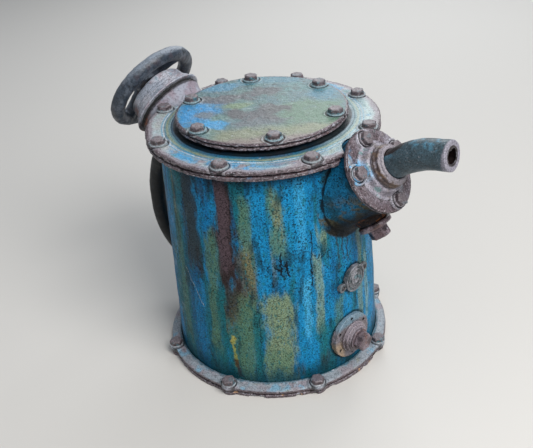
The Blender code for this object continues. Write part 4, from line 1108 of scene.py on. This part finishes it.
def make_barrel():
    """The barrel with its branch, valve stub and clean-out boss in one soft skin."""
    barrel = soft([(0.0, BASE_BOTTOM), (barrel_radius(BASE_BOTTOM), BASE_BOTTOM),
                   (barrel_radius(BARREL_TOP), BARREL_TOP), (0.0, BARREL_TOP)],
                  0.004, 0, closed=False)
    branch = [(0.0, 0.070), (0.0345, 0.070), (0.0300, 0.1255), (0.0304, BRANCH_END),
              (0.0, BRANCH_END)]
    boss = [(0.0, 0.020), (0.0150, 0.022), (0.0133, 0.0300), (0.0125, 0.0345), (0.0, 0.0345)]
    stub = [(0.0, 0.060), (0.0292, 0.060), (0.0285, 0.116), (0.0300, 0.125), (0.0322, 0.1295),
            (0.0, 0.1295)]
    shell = fused("barrel", lathe(barrel, 240), lathe(branch, 160, BRANCH),
                  lathe(boss, 80, CLEANOUT), lathe(stub, 160, VALVE), voxel=0.00132, easing=3)
    weather(shell, (0.045, 0.0009), (0.010, 0.00025), (0.0032, 0.00012), seed=3,
            where=lambda p: fade(p[:, 2], BASE_BOTTOM, 0.012) * fade(p[:, 2], BARREL_TOP, 0.196))
    inside = [(0.0, -0.010), (barrel_radius(0.0) - BARREL_WALL, -0.010),
              (barrel_radius(0.21) - BARREL_WALL, 0.210), (0.0, 0.210)]
    carve(shell, lathe(inside, 120), lathe(rod(0.021, 0.060, 0.140), 48, BRANCH),
          lathe(rod(0.024, 0.055, 0.140), 48, VALVE),
          lathe(rod(0.0066, 0.012, 0.040), 32, CLEANOUT),
          lathe(rod(0.0066, -0.015, 0.010), 32, DRAIN))
    finish(shell, "vessel", "blue_paint", glaze(), "body_shell")


def lug_reach(angles, edge, lug_radius):
    """How far the rim reaches at each angle: the lugs' round ends blend into the rim."""
    circle, (_, start, count) = LUG_CIRCLE, BASE_BOLTS
    step = 2.0 * pi / count
    off = (angles - radians(start) + step / 2) % step - step / 2
    inside = np.maximum(lug_radius ** 2 - (circle * np.sin(off)) ** 2, 0.0)
    bulge = circle * np.cos(off) + np.sqrt(inside) - edge
    bulge = np.where(inside > 0.0, bulge, -0.002 - 0.02 * np.abs(off))
    return edge + np.logaddexp(0.0, bulge / LUG_BLEND) * LUG_BLEND


def add_lugs(obj, edge, low_radius, high_radius, low, high):
    """Draws the rim out over the lugs, which lean out from low to high."""
    points = read_points(obj)
    radius = away_from(points)
    share = np.clip((points[:, 2] - low) / (high - low), 0.0, 1.0)
    size = low_radius + (high_radius - low_radius) * share
    reach = lug_reach(np.arctan2(points[:, 1], points[:, 0]), edge, size)
    scale = 1.0 + (reach - edge) * fade(radius, edge - 0.008, edge - 0.0005) / radius.clip(0.001)
    points[:, :2] *= scale[:, None]
    write_points(obj, points)


def make_base():
    """The foot flange with its lugs and the flat seat round each bolt."""
    inner = barrel_radius(BASE_BOTTOM) + 0.0006
    outline = [(inner, BASE_BOTTOM), (BASE_RADIUS, BASE_BOTTOM), (BASE_RADIUS, 0.0066),
               (BASE_RADIUS - 0.0018, 0.0076), (inner + 0.0022, 0.0088), (inner, 0.0102)]
    base = piece("base_rim", lathe(soft(outline, 0.0005), SIDES + 180))
    add_lugs(base, BASE_RADIUS, 0.0074, LUG_RADIUS, BASE_BOTTOM, 0.0072)
    points = read_points(base)
    for x, y in circle_places(*BASE_BOLTS):
        away = away_from(points, x, y)
        flat = fade(away, BASE_WASHER + 0.0030, BASE_WASHER + 0.0018) * (points[:, 2] > 0.006)
        points[:, 2] += (LUG_TOP - 0.0002 - points[:, 2]) * flat
    write_points(base, points)
    sink_round(base, WORLD, circle_places(*BASE_BOLTS), BASE_WASHER + 0.0004, 0.0006, 0.0005, 0.006)
    weather(base, (0.030, 0.0005), (0.006, 0.00025), (0.0018, 0.00012), seed=21)
    finish(base, "vessel", "worn_paint", base_paint(), "base_flange")


def make_foot():
    """The plate under the foot flange, with its broken edge."""
    foot = soft([(0.0, 0.0), (BASE_RADIUS, 0.0), (BASE_RADIUS, PLATE_TOP), (0.0, PLATE_TOP)],
                0.0005, 2, closed=False)
    foot = thinned(foot, lambda r, z: r > BASE_RADIUS - 0.004)
    plate = piece("foot_plate", lathe(foot, SIDES + 180))
    add_lugs(plate, BASE_RADIUS, LUG_FOOT_RADIUS, LUG_FOOT_RADIUS, 0.0, PLATE_TOP)
    chip(plate, BASE_RADIUS, 0.0045, 0.0016, 0.006, 5, 0.10)
    weather(plate, (0.012, 0.00035), (0.0025, 0.00022), seed=9,
            where=lambda p: outside(0.090, 0.097)(p) * (p[:, 2] > 0.0004))
    finish(plate, "vessel", "rusty_iron", chipped_paint(), "bottom_plate")


def plate_cutters():
    """Room in the top plates for the branch, the outlet flange and the valve stub."""
    branch = [(0.0, 0.068), (0.0353, 0.068), (0.0308, BRANCH_END), (0.0338, BRANCH_END),
              (0.0338, 0.150), (0.0, 0.150)]
    stub = [(0.0, 0.060), (0.0296, 0.060), (0.0292, 0.116), (0.0329, 0.1295), (0.0329, 0.140),
            (0.0, 0.140)]
    return lathe(branch, 96, BRANCH), lathe(stub, 96, VALVE)


def make_ring():
    """The upper plate at the top of the barrel, with its grooves and the neck."""
    top = RING_TOP
    outline = [(MOUTH_RADIUS, RING_BOTTOM), (0.0935, RING_BOTTOM), (0.0945, RING_BOTTOM + 0.0003),
               (RING_RADIUS, RING_BOTTOM + 0.0009), (0.0944, RING_BOTTOM + 0.0015),
               (RING_RADIUS, RING_BOTTOM + 0.0021), (0.0943, top - 0.0002), (0.0925, top),
               (0.0806, top + 0.0001), (0.0800, top - 0.0003), (0.0794, top + 0.0004),
               (STEP_RADIUS, top + 0.0009), (0.0745, top + 0.0009), (0.0740, top + 0.0004),
               (0.0734, top + 0.0010), (NECK_RADIUS + 0.0010, top + 0.0010),
               (NECK_RADIUS, top + 0.0020), (NECK_RADIUS, NECK_TOP), (MOUTH_RADIUS, NECK_TOP)]
    profile = thinned(soft(outline, 0.00045, 2), lambda r, z: z > top - 0.003 and r > NECK_RADIUS)
    ring_piece = piece("top_plate", lathe(profile, SIDES + 60))
    sink_round(ring_piece, WORLD, circle_places(*RING_BOLTS), WASHER + 0.0005, 0.0006, 0.0006,
               top - 0.001)
    weather(ring_piece, (0.035, 0.0005), (0.007, 0.00022), (0.0020, 0.00014), seed=31,
            where=outside(0.056, 0.062))
    weather(ring_piece, (0.0045, 0.00045), (0.0016, 0.0002), seed=35,
            where=outside(0.0920, 0.0940))
    chip(ring_piece, RING_RADIUS, 0.0018, 0.0009, 0.0045, 7, 0.20)
    carve(ring_piece, *plate_cutters())
    finish(ring_piece, "vessel", "worn_paint", ring_paint(), "top_ring")


def make_body_flange():
    """The lower plate, whose ragged edge leaves a seam under the upper one."""
    low, high = BODY_FLANGE_BOTTOM, BODY_FLANGE_TOP
    outline = [(DECK_INNER, low), (0.0940, low), (RING_RADIUS, low + 0.0008),
               (RING_RADIUS - 0.0002, high - 0.0014), (0.0944, high - 0.0010),
               (RING_RADIUS, high - 0.0006), (0.0943, high), (DECK_INNER, high)]
    profile = thinned(soft(outline, 0.00045, 2), lambda r, z: r > 0.091)
    lower = piece("barrel_plate", lathe(profile, SIDES + 60))
    weather(lower, (0.020, 0.0005), (0.005, 0.0004), (0.0018, 0.0003), seed=41,
            where=outside(0.088, 0.093))
    chip(lower, RING_RADIUS, 0.0020, 0.0010, 0.0040, 8, 0.10)
    carve(lower, *plate_cutters())
    finish(lower, "vessel", "worn_paint", flange_paint("flange_paint"), "body_flange")


def make_lid_cover():
    """The lid's upper part."""
    edge = LID_RADIUS
    outline = [(0.0, LID_COVER_BOTTOM), (edge - 0.0010, LID_COVER_BOTTOM),
               (edge, LID_COVER_BOTTOM + 0.0006), (edge, LID_TOP - 0.0009),
               (edge - 0.0010, LID_TOP), (0.0, LID_TOP)]
    profile = soft(outline, 0.0006, 2, closed=False)
    profile = thinned(profile, lambda r, z: z > LID_COVER_BOTTOM + 0.0005 and r > 0.03, 0.0012)
    cover = piece("lid_top", lathe(profile, SIDES - 60))
    sink_round(cover, WORLD, circle_places(*LID_BOLTS), WASHER + 0.0005, 0.0006, 0.0006,
               LID_TOP - 0.001)
    weather(cover, (0.030, 0.0005), (0.007, 0.0002), (0.0020, 0.00016), seed=51,
            where=lambda p: 0.3 + 0.7 * (p[:, 2] > LID_COVER_BOTTOM + 0.0004))
    chip(cover, edge, 0.0018, 0.0008, 0.0040, 17, 0.20)
    finish(cover, "lid", "worn_paint", lid_paint(), "lid_cover")


def make_lid_flange():
    """The lid's lower part, with its spigot; its edge leaves a crack line under the cover."""
    edge, low, high = LID_RADIUS, LID_FLANGE_BOTTOM, LID_FLANGE_TOP
    outline = [(0.0, low), (0.0504, low), (0.0504, SPIGOT_BOTTOM), (0.0544, SPIGOT_BOTTOM),
               (0.0544, low), (edge - 0.0012, low), (edge, low + 0.0008), (edge, high - 0.0006),
               (edge - 0.0008, high), (0.0, high)]
    profile = thinned(soft(outline, 0.0005, 1, closed=False), lambda r, z: r > edge - 0.004)
    flange = piece("lid_rim", lathe(profile, SIDES - 60))
    weather(flange, (0.015, 0.0004), (0.004, 0.0004), (0.0016, 0.0003), seed=61,
            where=outside(edge - 0.004, edge - 0.001))
    chip(flange, edge, 0.0020, 0.0009, 0.0035, 18, 0.10)
    finish(flange, "lid", "worn_paint", flange_paint("lid_rim_paint", 0.15), "lid_flange")


def bolt(name, place, flats, head, washer, shank, shank_length, seed):
    """A worn hexagon bolt on a washer that is not quite round, its seat at height zero."""
    pick = np.random.default_rng(seed)
    turn = Matrix.Rotation(pick.uniform(0.0, pi / 3), 4, "Z")
    lean = Matrix.Rotation(pick.uniform(-0.035, 0.035), 4, "X")
    slip = Matrix.Translation((pick.uniform(-0.0003, 0.0003), pick.uniform(-0.0003, 0.0003), 0.0))
    thick = 0.0011
    disc = [(0.0, -0.0002), (washer, -0.0002), (washer, thick * 0.7), (washer - 0.0006, thick),
            (0.0, thick)]
    made = fused(name, lathe(disc, 40, place @ slip),
                 hexagon(flats, thick * 0.5, thick + head, place @ slip @ lean @ turn),
                 lathe(rod(shank, -shank_length, 0.0), 20, place), voxel=0.00037, easing=1)
    weather(made, (0.004, 0.00025), (0.0015, 0.00010), seed=seed)
    return made


# Bolts: name, body, places, frame, level of the plate, colour of the washer, and then
# the sizes: across flats, height of the head, washer's radius, shank's radius and length
BOLT_GROUPS = (
    ("ring_bolt", "vessel", circle_places(*RING_BOLTS), WORLD, RING_TOP, "8f9aa0",
     (0.0104, 0.0036, WASHER, 0.0030, 0.0076)),
    ("lid_bolt", "lid", circle_places(*LID_BOLTS), WORLD, LID_TOP, "7f9ba4",
     (0.0104, 0.0036, WASHER, 0.0030, 0.0056)),
    ("base_bolt", "vessel", circle_places(*BASE_BOLTS), WORLD, LUG_TOP, "a3a9b0",
     (0.0104, 0.0035, BASE_WASHER, 0.0030, 0.0085)),
    ("outlet_bolt", "vessel", OUTLET_PLACES, BRANCH, OUTLET_FACE, "a49ea6",
     (0.0096, 0.0038, OUTLET_WASHER, 0.0023, 0.0120)),
)


def make_bolts():
    """All the bolts, each worn in its own way."""
    seed = 100
    for prefix, body, places, place, level, washer_tone, sizes in BOLT_GROUPS:
        seat = level + 0.0003
        material = bolt_paint(f"{prefix}_paint", place, seat, washer_tone)
        for number, (x, y) in enumerate(places, start=1):
            seed += 1
            spot = place @ Matrix.Translation((x, y, seat))
            made = bolt(f"{prefix}_{number}_worn", spot, *sizes, seed)
            finish(made, body, "rusty_iron", material, f"{prefix}_{number}")


def raise_pads(flange, face):
    """Leaves the middle of the outlet's face and a pad at each bolt proud of the rest."""
    points = local(read_points(flange), BRANCH)
    kept = fade(away_from(points), 0.0236, 0.0228)
    for x, y in OUTLET_PLACES:
        away = away_from(points, x, y)
        kept = np.maximum(kept, fade(away, 0.0086, 0.0078))
    points[:, 2] -= 0.0012 * (1.0 - kept) * (points[:, 2] > face - 0.0016)
    write_points(flange, moved(points, BRANCH))


def make_outlet():
    """The outlet flange with its raised middle and pads."""
    face, bore = OUTLET_FACE, SPOUT_RADIUS + 0.0003
    outline = [(bore, OUTLET_BACK), (0.0322, OUTLET_BACK), (OUTLET_RADIUS, OUTLET_BACK + 0.0010),
               (OUTLET_RADIUS, face - 0.0012), (0.0320, face), (0.0207, face),
               (0.0200, face + 0.0012), (0.0190, face + 0.0044), (0.0178, face + 0.0052),
               (bore, face + 0.0052)]
    profile = thinned(soft(outline, 0.0004, 3), lambda r, z: z > OUTLET_BACK + 0.0002)
    flange = piece("outlet_plate", lathe(profile, SMALL_SIDES + 100, BRANCH))
    raise_pads(flange, face)
    sink_round(flange, BRANCH, OUTLET_PLACES, OUTLET_WASHER + 0.0005, 0.0009, 0.0006, face - 0.001)
    weather(flange, (0.014, 0.0005), (0.004, 0.0003), (0.0015, 0.00016), seed=71,
            where=outside(0.0125, 0.016, BRANCH))
    finish(flange, "vessel", "bare_iron", outlet_paint(), "outlet_flange")


def make_collar():
    """The stepped collar round the spout."""
    start, bore = OUTLET_FACE + 0.0055, SPOUT_RADIUS + 0.0003
    outline = [(bore, start), (0.0168, start), (0.0166, start + 0.0030), (0.0158, start + 0.0036),
               (0.0160, start + 0.0062), (0.0152, start + 0.0068), (0.0140, start + 0.0070),
               (0.0137, start + 0.0082), (0.0128, start + 0.0088), (bore, start + 0.0088)]
    collar = piece("spout_ring", lathe(soft(outline, 0.0004, 3), SMALL_SIDES, BRANCH))
    weather(collar, (0.010, 0.0004), (0.003, 0.0002), seed=73,
            where=outside(0.0122, 0.0135, BRANCH))
    finish(collar, "vessel", "bare_iron", collar_paint(), "spout_collar")


def spout_path():
    """The spout's middle line: straight out of the branch, a bend and a short tail."""
    start = BRANCH @ Vector((0.0, 0.0, BEND_START))
    middle = start + Vector((sin(BRANCH_SLOPE), 0.0, -cos(BRANCH_SLOPE))) * BEND_RADIUS
    path = [BRANCH @ Vector((0.0, 0.0, SPOUT_START)), start]
    for step in range(1, BEND_STEPS + 1):
        angle = BRANCH_SLOPE + (TAIL_SLOPE - BRANCH_SLOPE) * step / BEND_STEPS
        path.append(middle + Vector((-sin(angle), 0.0, cos(angle))) * BEND_RADIUS)
    return path + [path[-1] + Vector((cos(TAIL_SLOPE), 0.0, sin(TAIL_SLOPE))) * TAIL_LENGTH]


def make_spout():
    """The curved spout, with its worn end and the crust in its mouth."""
    outer = [(0.002 + 0.985 * k / 90, SPOUT_RADIUS) for k in range(91)]
    end = [(0.996, SPOUT_RADIUS - 0.0001), (0.9995, SPOUT_RADIUS - 0.0006),
           (1.0, SPOUT_RADIUS - 0.0016), (1.0, SPOUT_RADIUS - 0.0026), (1.0, SPOUT_BORE + 0.0006),
           (0.999, SPOUT_BORE - 0.0006), (0.994, SPOUT_BORE - 0.0010)]
    inner = [(0.985 - 0.985 * k / 24, SPOUT_BORE) for k in range(25)]
    spout = piece("spout_pipe", swept(spout_path(), outer + end + inner))
    weather(spout, (0.016, 0.0005), (0.004, 0.0002), (0.0018, 0.00012), seed=81,
            where=lambda p: fade(p[:, 0], 0.108, 0.116))
    points = local(read_points(spout), TAIL)
    inside = away_from(points) < SPOUT_BORE + 0.0012
    crust = inside * fade(points[:, 2], -0.008, -0.002) * fade(rough(points, 0.006, 84), -0.2, 0.3)
    points[:, :2] *= 1.0 - 0.30 * crust[:, None]
    write_points(spout, moved(points, TAIL))
    finish(spout, "vessel", "grey_green_paint", spout_paint(), "spout_tube")


def make_cleanout():
    """The clean-out plug under the branch, with its washer."""
    sooty = iron("cleanout_iron", "5a4b51", "8a7d85", "1d1719", "5a3a2e", 0.36, 0.4)
    start = 0.0348
    collar = [(0.0066, start), (0.0126, start), (0.0136, start + 0.0008), (0.0136, start + 0.0034),
              (0.0120, start + 0.0045), (0.0066, start + 0.0045)]
    washer = fused("cleanout_ring", lathe(collar, 96, CLEANOUT), voxel=0.0004, easing=2)
    weather(washer, (0.006, 0.0004), (0.002, 0.0002), seed=91)
    finish(washer, "cleanout_seal", "bare_iron", sooty, "cleanout_washer")
    plug = fused("cleanout_bung", hexagon(0.0146, start + 0.0048, start + 0.0135, CLEANOUT, 0.0009),
                 lathe(rod(0.0061, 0.0245, start + 0.007), 40, CLEANOUT), voxel=0.0004, easing=1)
    weather(plug, (0.006, 0.0004), (0.002, 0.0002), seed=92)
    finish(plug, "cleanout_screw", "rusty_iron", sooty, "cleanout_plug")


def drain_paint():
    """The drain's flange: mauve iron, bluish above, tan at the left, with dark screws."""
    paint = Paint("drain_paint", "6c6569", roughness=0.5)
    x, y, height = paint.axes(DRAIN)
    paint.patches("7f7984", 0.8, 0.006, 0.46, 0.62)
    wavy = (paint.noise(0.008) - 0.5) * 0.012
    paint.coat("6f93a6", paint.fade(y + wavy, 0.010, 0.015), 0.7)
    paint.coat("98826a", paint.fade(x + wavy, -0.006, -0.012) * paint.fade(y, 0.004, -0.004), 0.85)
    iron_edge(paint, paint.fade(height, 0.0036, 0.0046))
    paint.coat("9b919a", paint.fade(height, 0.0050, 0.0056) * paint.fade(y, 0.0, 0.006), 0.6)
    paint.coat(SHADE_AND_SOOT, paint.fade(bolt_distance(paint, x, y, DRAIN_SCREWS), 0.0017, 0.0012), 0.95)
    soot_shade_and_wear(paint)
    return paint.done()


def make_drain():
    """The drain at the foot: its flange, the rubber washer and the plug."""
    dark = iron("plug_iron", "66585e", "857880", "3a2f33", "6a4638", 0.42, 0.6)
    steps = [lathe(ring(outer, 0.0075, 0.0020, high), 96, DRAIN)
             for outer, high in ((0.0140, 0.0056), (0.0126, 0.0080))]
    flange = fused("drain_plate", cad_solid("drain_flange"), *steps, voxel=0.00038, easing=2)
    weather(flange, (0.008, 0.0003), (0.0025, 0.00018), seed=93)
    finish(flange, "vessel", "bare_iron", drain_paint(), "drain_flange")
    washer = fused("drain_ring", lathe(ring(0.0095, 0.0064, 0.0103, 0.0115), 64, DRAIN),
                   voxel=0.00035, easing=2)
    weather(washer, (0.005, 0.0003), seed=94)
    finish(washer, "drain_seal", "gasket_rubber", dark, "drain_washer")
    plug = fused("drain_bung", hexagon(0.0142, 0.0118, 0.0186, DRAIN, 0.0007),
                 lathe(rod(0.0061, -0.0038, 0.014), 40, DRAIN), voxel=0.0004, easing=1)
    weather(plug, (0.006, 0.0002), (0.002, 0.0001), seed=95)
    finish(plug, "drain_screw", "rusty_iron", dark, "drain_plug")


def make_badge():
    """The round badge plate with plain raised rings, and its two rivets."""
    face = 0.0026
    rings = [lathe(ring(outer, inner, 0.0010, face + high), 96, BADGE)
             for outer, inner, high in ((0.0118, 0.0103, 0.0010), (0.0086, 0.0074, 0.0010),
                                        (0.0052, 0.0036, 0.0010))]
    middle = lathe(rod(0.0016, 0.0010, face + 0.0010), 32, BADGE)
    plate = fused("badge", cad_solid("badge_plate"), *rings, middle, voxel=0.00033, easing=1)
    weather(plate, (0.005, 0.0003), (0.0016, 0.00012), seed=96)
    material = iron("badge_iron", "63656a", "94939b", "263a3e", "3f7078", 0.42, 0.6)
    finish(plate, "vessel", "bare_iron", material, "badge_plate")
    soot = iron("rivet_iron", "2a2628", "4a4448", "141214", "3a2f2a")
    for number in (1, 2):
        node = f"badge_rivet_{number}"
        rivet = fused(f"{node}_worn", cad_solid(node), voxel=0.0002, easing=2)
        weather(rivet, (0.002, 0.0001), seed=97 + number)
        finish(rivet, "vessel", "rusty_iron", soot, node)


def make_valve():
    """The valve's lip and bonnet."""
    lip = [(0.024, LIP_START), (0.0336, LIP_START), (0.0342, LIP_START + 0.0004),
           (0.0342, LIP_START + 0.0012), (0.0326, LIP_START + 0.0018),
           (0.0314, LIP_START + 0.0040), (0.0308, LIP_END - 0.0006), (0.0302, LIP_END),
           (0.024, LIP_END)]
    band = piece("valve_band", lathe(soft(lip, 0.0005, 3), SMALL_SIDES + 60, VALVE))
    weather(band, (0.020, 0.0006), (0.005, 0.0002), (0.0018, 0.0001), seed=121,
            where=outside(0.0245, 0.029, VALVE))
    silver = valve_paint()
    finish(band, "vessel", "bare_iron", silver, "valve_lip")
    start = LIP_END + 0.0003
    bonnet = [(0.0042, BONNET_TOP - 0.003), (0.0236, BONNET_TOP - 0.003), (0.0236, start),
              (0.0290, start), (0.0284, start + 0.0030), (0.0276, start + 0.0034),
              (0.0280, start + 0.0040), (0.0272, BONNET_TOP - 0.0020), (0.0255, BONNET_TOP),
              (0.0042, BONNET_TOP)]
    cap = piece("valve_cap", lathe(soft(bonnet, 0.0005, 3), SMALL_SIDES + 60, VALVE))
    weather(cap, (0.020, 0.0005), (0.005, 0.0002), (0.0018, 0.0001), seed=122,
            where=outside(0.006, 0.012, VALVE))
    finish(cap, "vessel", "bare_iron", silver, "valve_bonnet")


def wheel_spoke(angle):
    """A spoke from the hub down to the middle of the rim."""
    outward = Vector((cos(angle), sin(angle), 0.0))
    inner = VALVE @ (outward * 0.0075 + Vector((0.0, 0.0, 0.1616)))
    outer = VALVE @ (outward * WHEEL_RADIUS + Vector((0.0, 0.0, WHEEL_STATION)))
    along = outer - inner
    spoke = [(0.0, 0.0), (0.0052, 0.0), (0.0048, 0.010), (0.0052, along.length * 0.7),
             (0.0062, along.length), (0.0, along.length)]
    return lathe(spoke, 32, axis_frame(inner, along, (0.0, 0.31, 0.95)))


def make_wheel():
    """The handwheel and its nut."""
    # The last tone, 8d97a4, is painted light on the wheel's upper faces.
    dark = iron("wheel_iron", "38414d", "5c6470", "1d2229", "4a4048", 0.42, 0.5, "8d97a4")
    tube = [(WHEEL_RADIUS + WHEEL_TUBE * cos(a), WHEEL_STATION + WHEEL_TUBE * sin(a))
            for a in np.arange(36) * 2.0 * pi / 36]
    hub = lathe(ring(0.0115, 0.0038, 0.1572, 0.1660), 60, VALVE)
    spokes = [wheel_spoke(radians(WHEEL_SPOKE_START + 90.0 * number)) for number in range(4)]
    wheel = fused("wheel", lathe(tube, 160, VALVE), hub, *spokes, voxel=0.0007, easing=4)
    weather(wheel, (0.018, 0.0005), (0.005, 0.0003), (0.0022, 0.00015), seed=131)
    finish(wheel, "wheel", "dark_iron", dark, "handwheel")
    nut = fused("wheel_cap_nut", hexagon(0.0130, WHEEL_NUT_START, WHEEL_NUT_START + 0.0088, VALVE),
                voxel=0.0004, easing=3)
    weather(nut, (0.004, 0.0003), seed=132)
    finish(nut, "wheel", "rusty_iron", dark, "wheel_nut")


def valve_paint():
    """The valve's lip and bonnet: pale silver iron, rusty below."""
    paint = Paint("valve_paint", "afb1bc", roughness=0.42)
    x, y, height = paint.axes(VALVE)
    paint.patches("8e97a6", 0.8, 0.012, 0.44, 0.60)
    paint.patches("9a8a92", 0.8, 0.010, 0.52, 0.66, shift=0.6)
    paint.patches("7d9aaa", 0.6, 0.008, 0.58, 0.70, shift=0.9)
    low = paint.fade(y + paint.noise(0.01) * 0.02, 0.014, -0.006)
    paint.coat("4a3c3e", low, 0.85)
    paint.patches("8a5030", 0.7, 0.008, 0.52, 0.62, shift=1.6, within=low)
    soot_shade_and_wear(paint)
    return paint.done()


def make_pipe():
    """The dark by-pass pipe behind the barrel."""
    route = [(-0.1129, 0.1706), (-0.1245, 0.1520), (-0.1335, 0.1360), (-0.1392, 0.1180),
             (-0.1415, 0.0990), (-0.1408, 0.0800), (-0.1350, 0.0625), (-0.1235, 0.0490),
             (-0.1080, 0.0405), (-0.0957, 0.0376), (-0.0867, 0.0370)]
    ends = [np.array(p) for p in route]
    ends = [ends[0] * 2 - ends[1]] + ends + [ends[-1] * 2 - ends[-2]]
    path = []
    for a, b, c, d in zip(ends, ends[1:], ends[2:], ends[3:]):
        for t in np.arange(12) / 12:
            spot = (b + (c - a) * (t / 2) + (a * 2 - b * 5 + c * 4 - d) * (t * t / 2)
                    + (b * 3 - a - c * 3 + d) * (t ** 3 / 2))
            path.append((spot[0], 0.0, spot[1]))
    path.append((route[-1][0], 0.0, route[-1][1]))
    outer = [(k / 150, 0.0080) for k in range(151)]
    inner = [(1.0 - k / 40, 0.0052) for k in range(41)]
    pipe = piece("bypass", swept(path, outer + inner, 56))
    weather(pipe, (0.016, 0.0005), (0.004, 0.0002), seed=141,
            where=lambda p: fade(-p[:, 0], 0.093, 0.100) * fade(p[:, 2], 0.172, 0.160))
    material = iron("pipe_iron", "060c10", "0e191f", "030506", "121011", 0.55, 0.5)
    finish(pipe, "vessel", "dark_iron", material, "bypass_pipe")


def paint_hidden_nodes():
    """Materials for the CAD nodes that keep their own shape."""
    rubber_look = rubber()
    brass = metal("brass", "b08d4a", "5a4a2a", 0.35)
    steel = metal("steel", "8f9296", "5a5552", 0.3)
    looks = {
        rubber_look: ("base_gasket", "head_gasket", "lid_gasket", "outlet_gasket", "valve_gasket",
                      "valve_packing"),
        brass: ("valve_seat", "valve_disc", "gland_nut"),
        steel: ("valve_stem",),
    }
    for look, nodes in looks.items():
        for node in nodes:
            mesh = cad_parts[node].data
            mesh.materials.clear()
            mesh.materials.append(look)


# ---------------------------------------------------------------- floor, light, camera

def make_stage():
    """A plain floor, which is not part of the object."""
    mesh = bpy.data.meshes.new("floor")
    shape = bmesh.new()
    bmesh.ops.create_grid(shape, x_segments=1, y_segments=1, size=4.0)
    shape.to_mesh(mesh)
    shape.free()
    floor = bpy.data.objects.new("floor", mesh)
    bpy.context.scene.collection.objects.link(floor)
    paint = Paint("floor", "cfccc8", roughness=0.8)
    mesh.materials.append(paint.done())


def add_area_light(name, place, target, size, power, tone):
    data = bpy.data.lights.new(name, "AREA")
    data.size = size
    data.energy = power
    data.color = tone
    light = bpy.data.objects.new(name, data)
    bpy.context.scene.collection.objects.link(light)
    light.location = place
    direction = Vector(target) - Vector(place)
    light.rotation_euler = direction.to_track_quat("-Z", "Y").to_euler()


def make_lights():
    middle = (0.0, 0.0, 0.12)
    add_area_light("key", (0.95, -0.25, 1.15), middle, 0.8, 23.0, (1.0, 0.985, 0.96))
    add_area_light("fill", (-0.9, -0.9, 0.8), middle, 1.2, 1.5, (0.93, 0.97, 1.0))
    add_area_light("back", (-0.5, 1.1, 0.9), middle, 0.9, 9.0, (0.95, 0.98, 1.0))
    world = bpy.data.worlds.new("world")
    world.use_nodes = True
    background = world.node_tree.nodes["Background"]
    background.inputs["Color"].default_value = (0.80, 0.87, 0.95, 1.0)
    background.inputs["Strength"].default_value = 0.30
    bpy.context.scene.world = world


def make_camera():
    data = bpy.data.cameras.new("camera")
    data.lens = 53.7
    data.sensor_width = 36.0
    data.shift_x = -0.0062
    camera = bpy.data.objects.new("camera", data)
    bpy.context.scene.collection.objects.link(camera)
    place = Vector((0.3903, -0.4486, 0.4672))
    target = Vector((-0.0006, -0.0006, 0.1105))
    look = (target - place).to_track_quat("-Z", "Y")
    camera.rotation_mode = "QUATERNION"
    camera.location = place
    camera.rotation_quaternion = look @ Matrix.Rotation(radians(-4.64), 4, "Z").to_quaternion()
    bpy.context.scene.camera = camera


make_barrel()
make_base()
make_foot()
make_ring()
make_body_flange()
make_lid_cover()
make_lid_flange()
make_bolts()
make_outlet()
make_collar()
make_spout()
make_cleanout()
make_drain()
make_badge()
make_valve()
make_wheel()
make_pipe()
paint_hidden_nodes()
make_stage()
make_lights()
make_camera()
bpy.context.scene.view_settings.view_transform = "Standard"
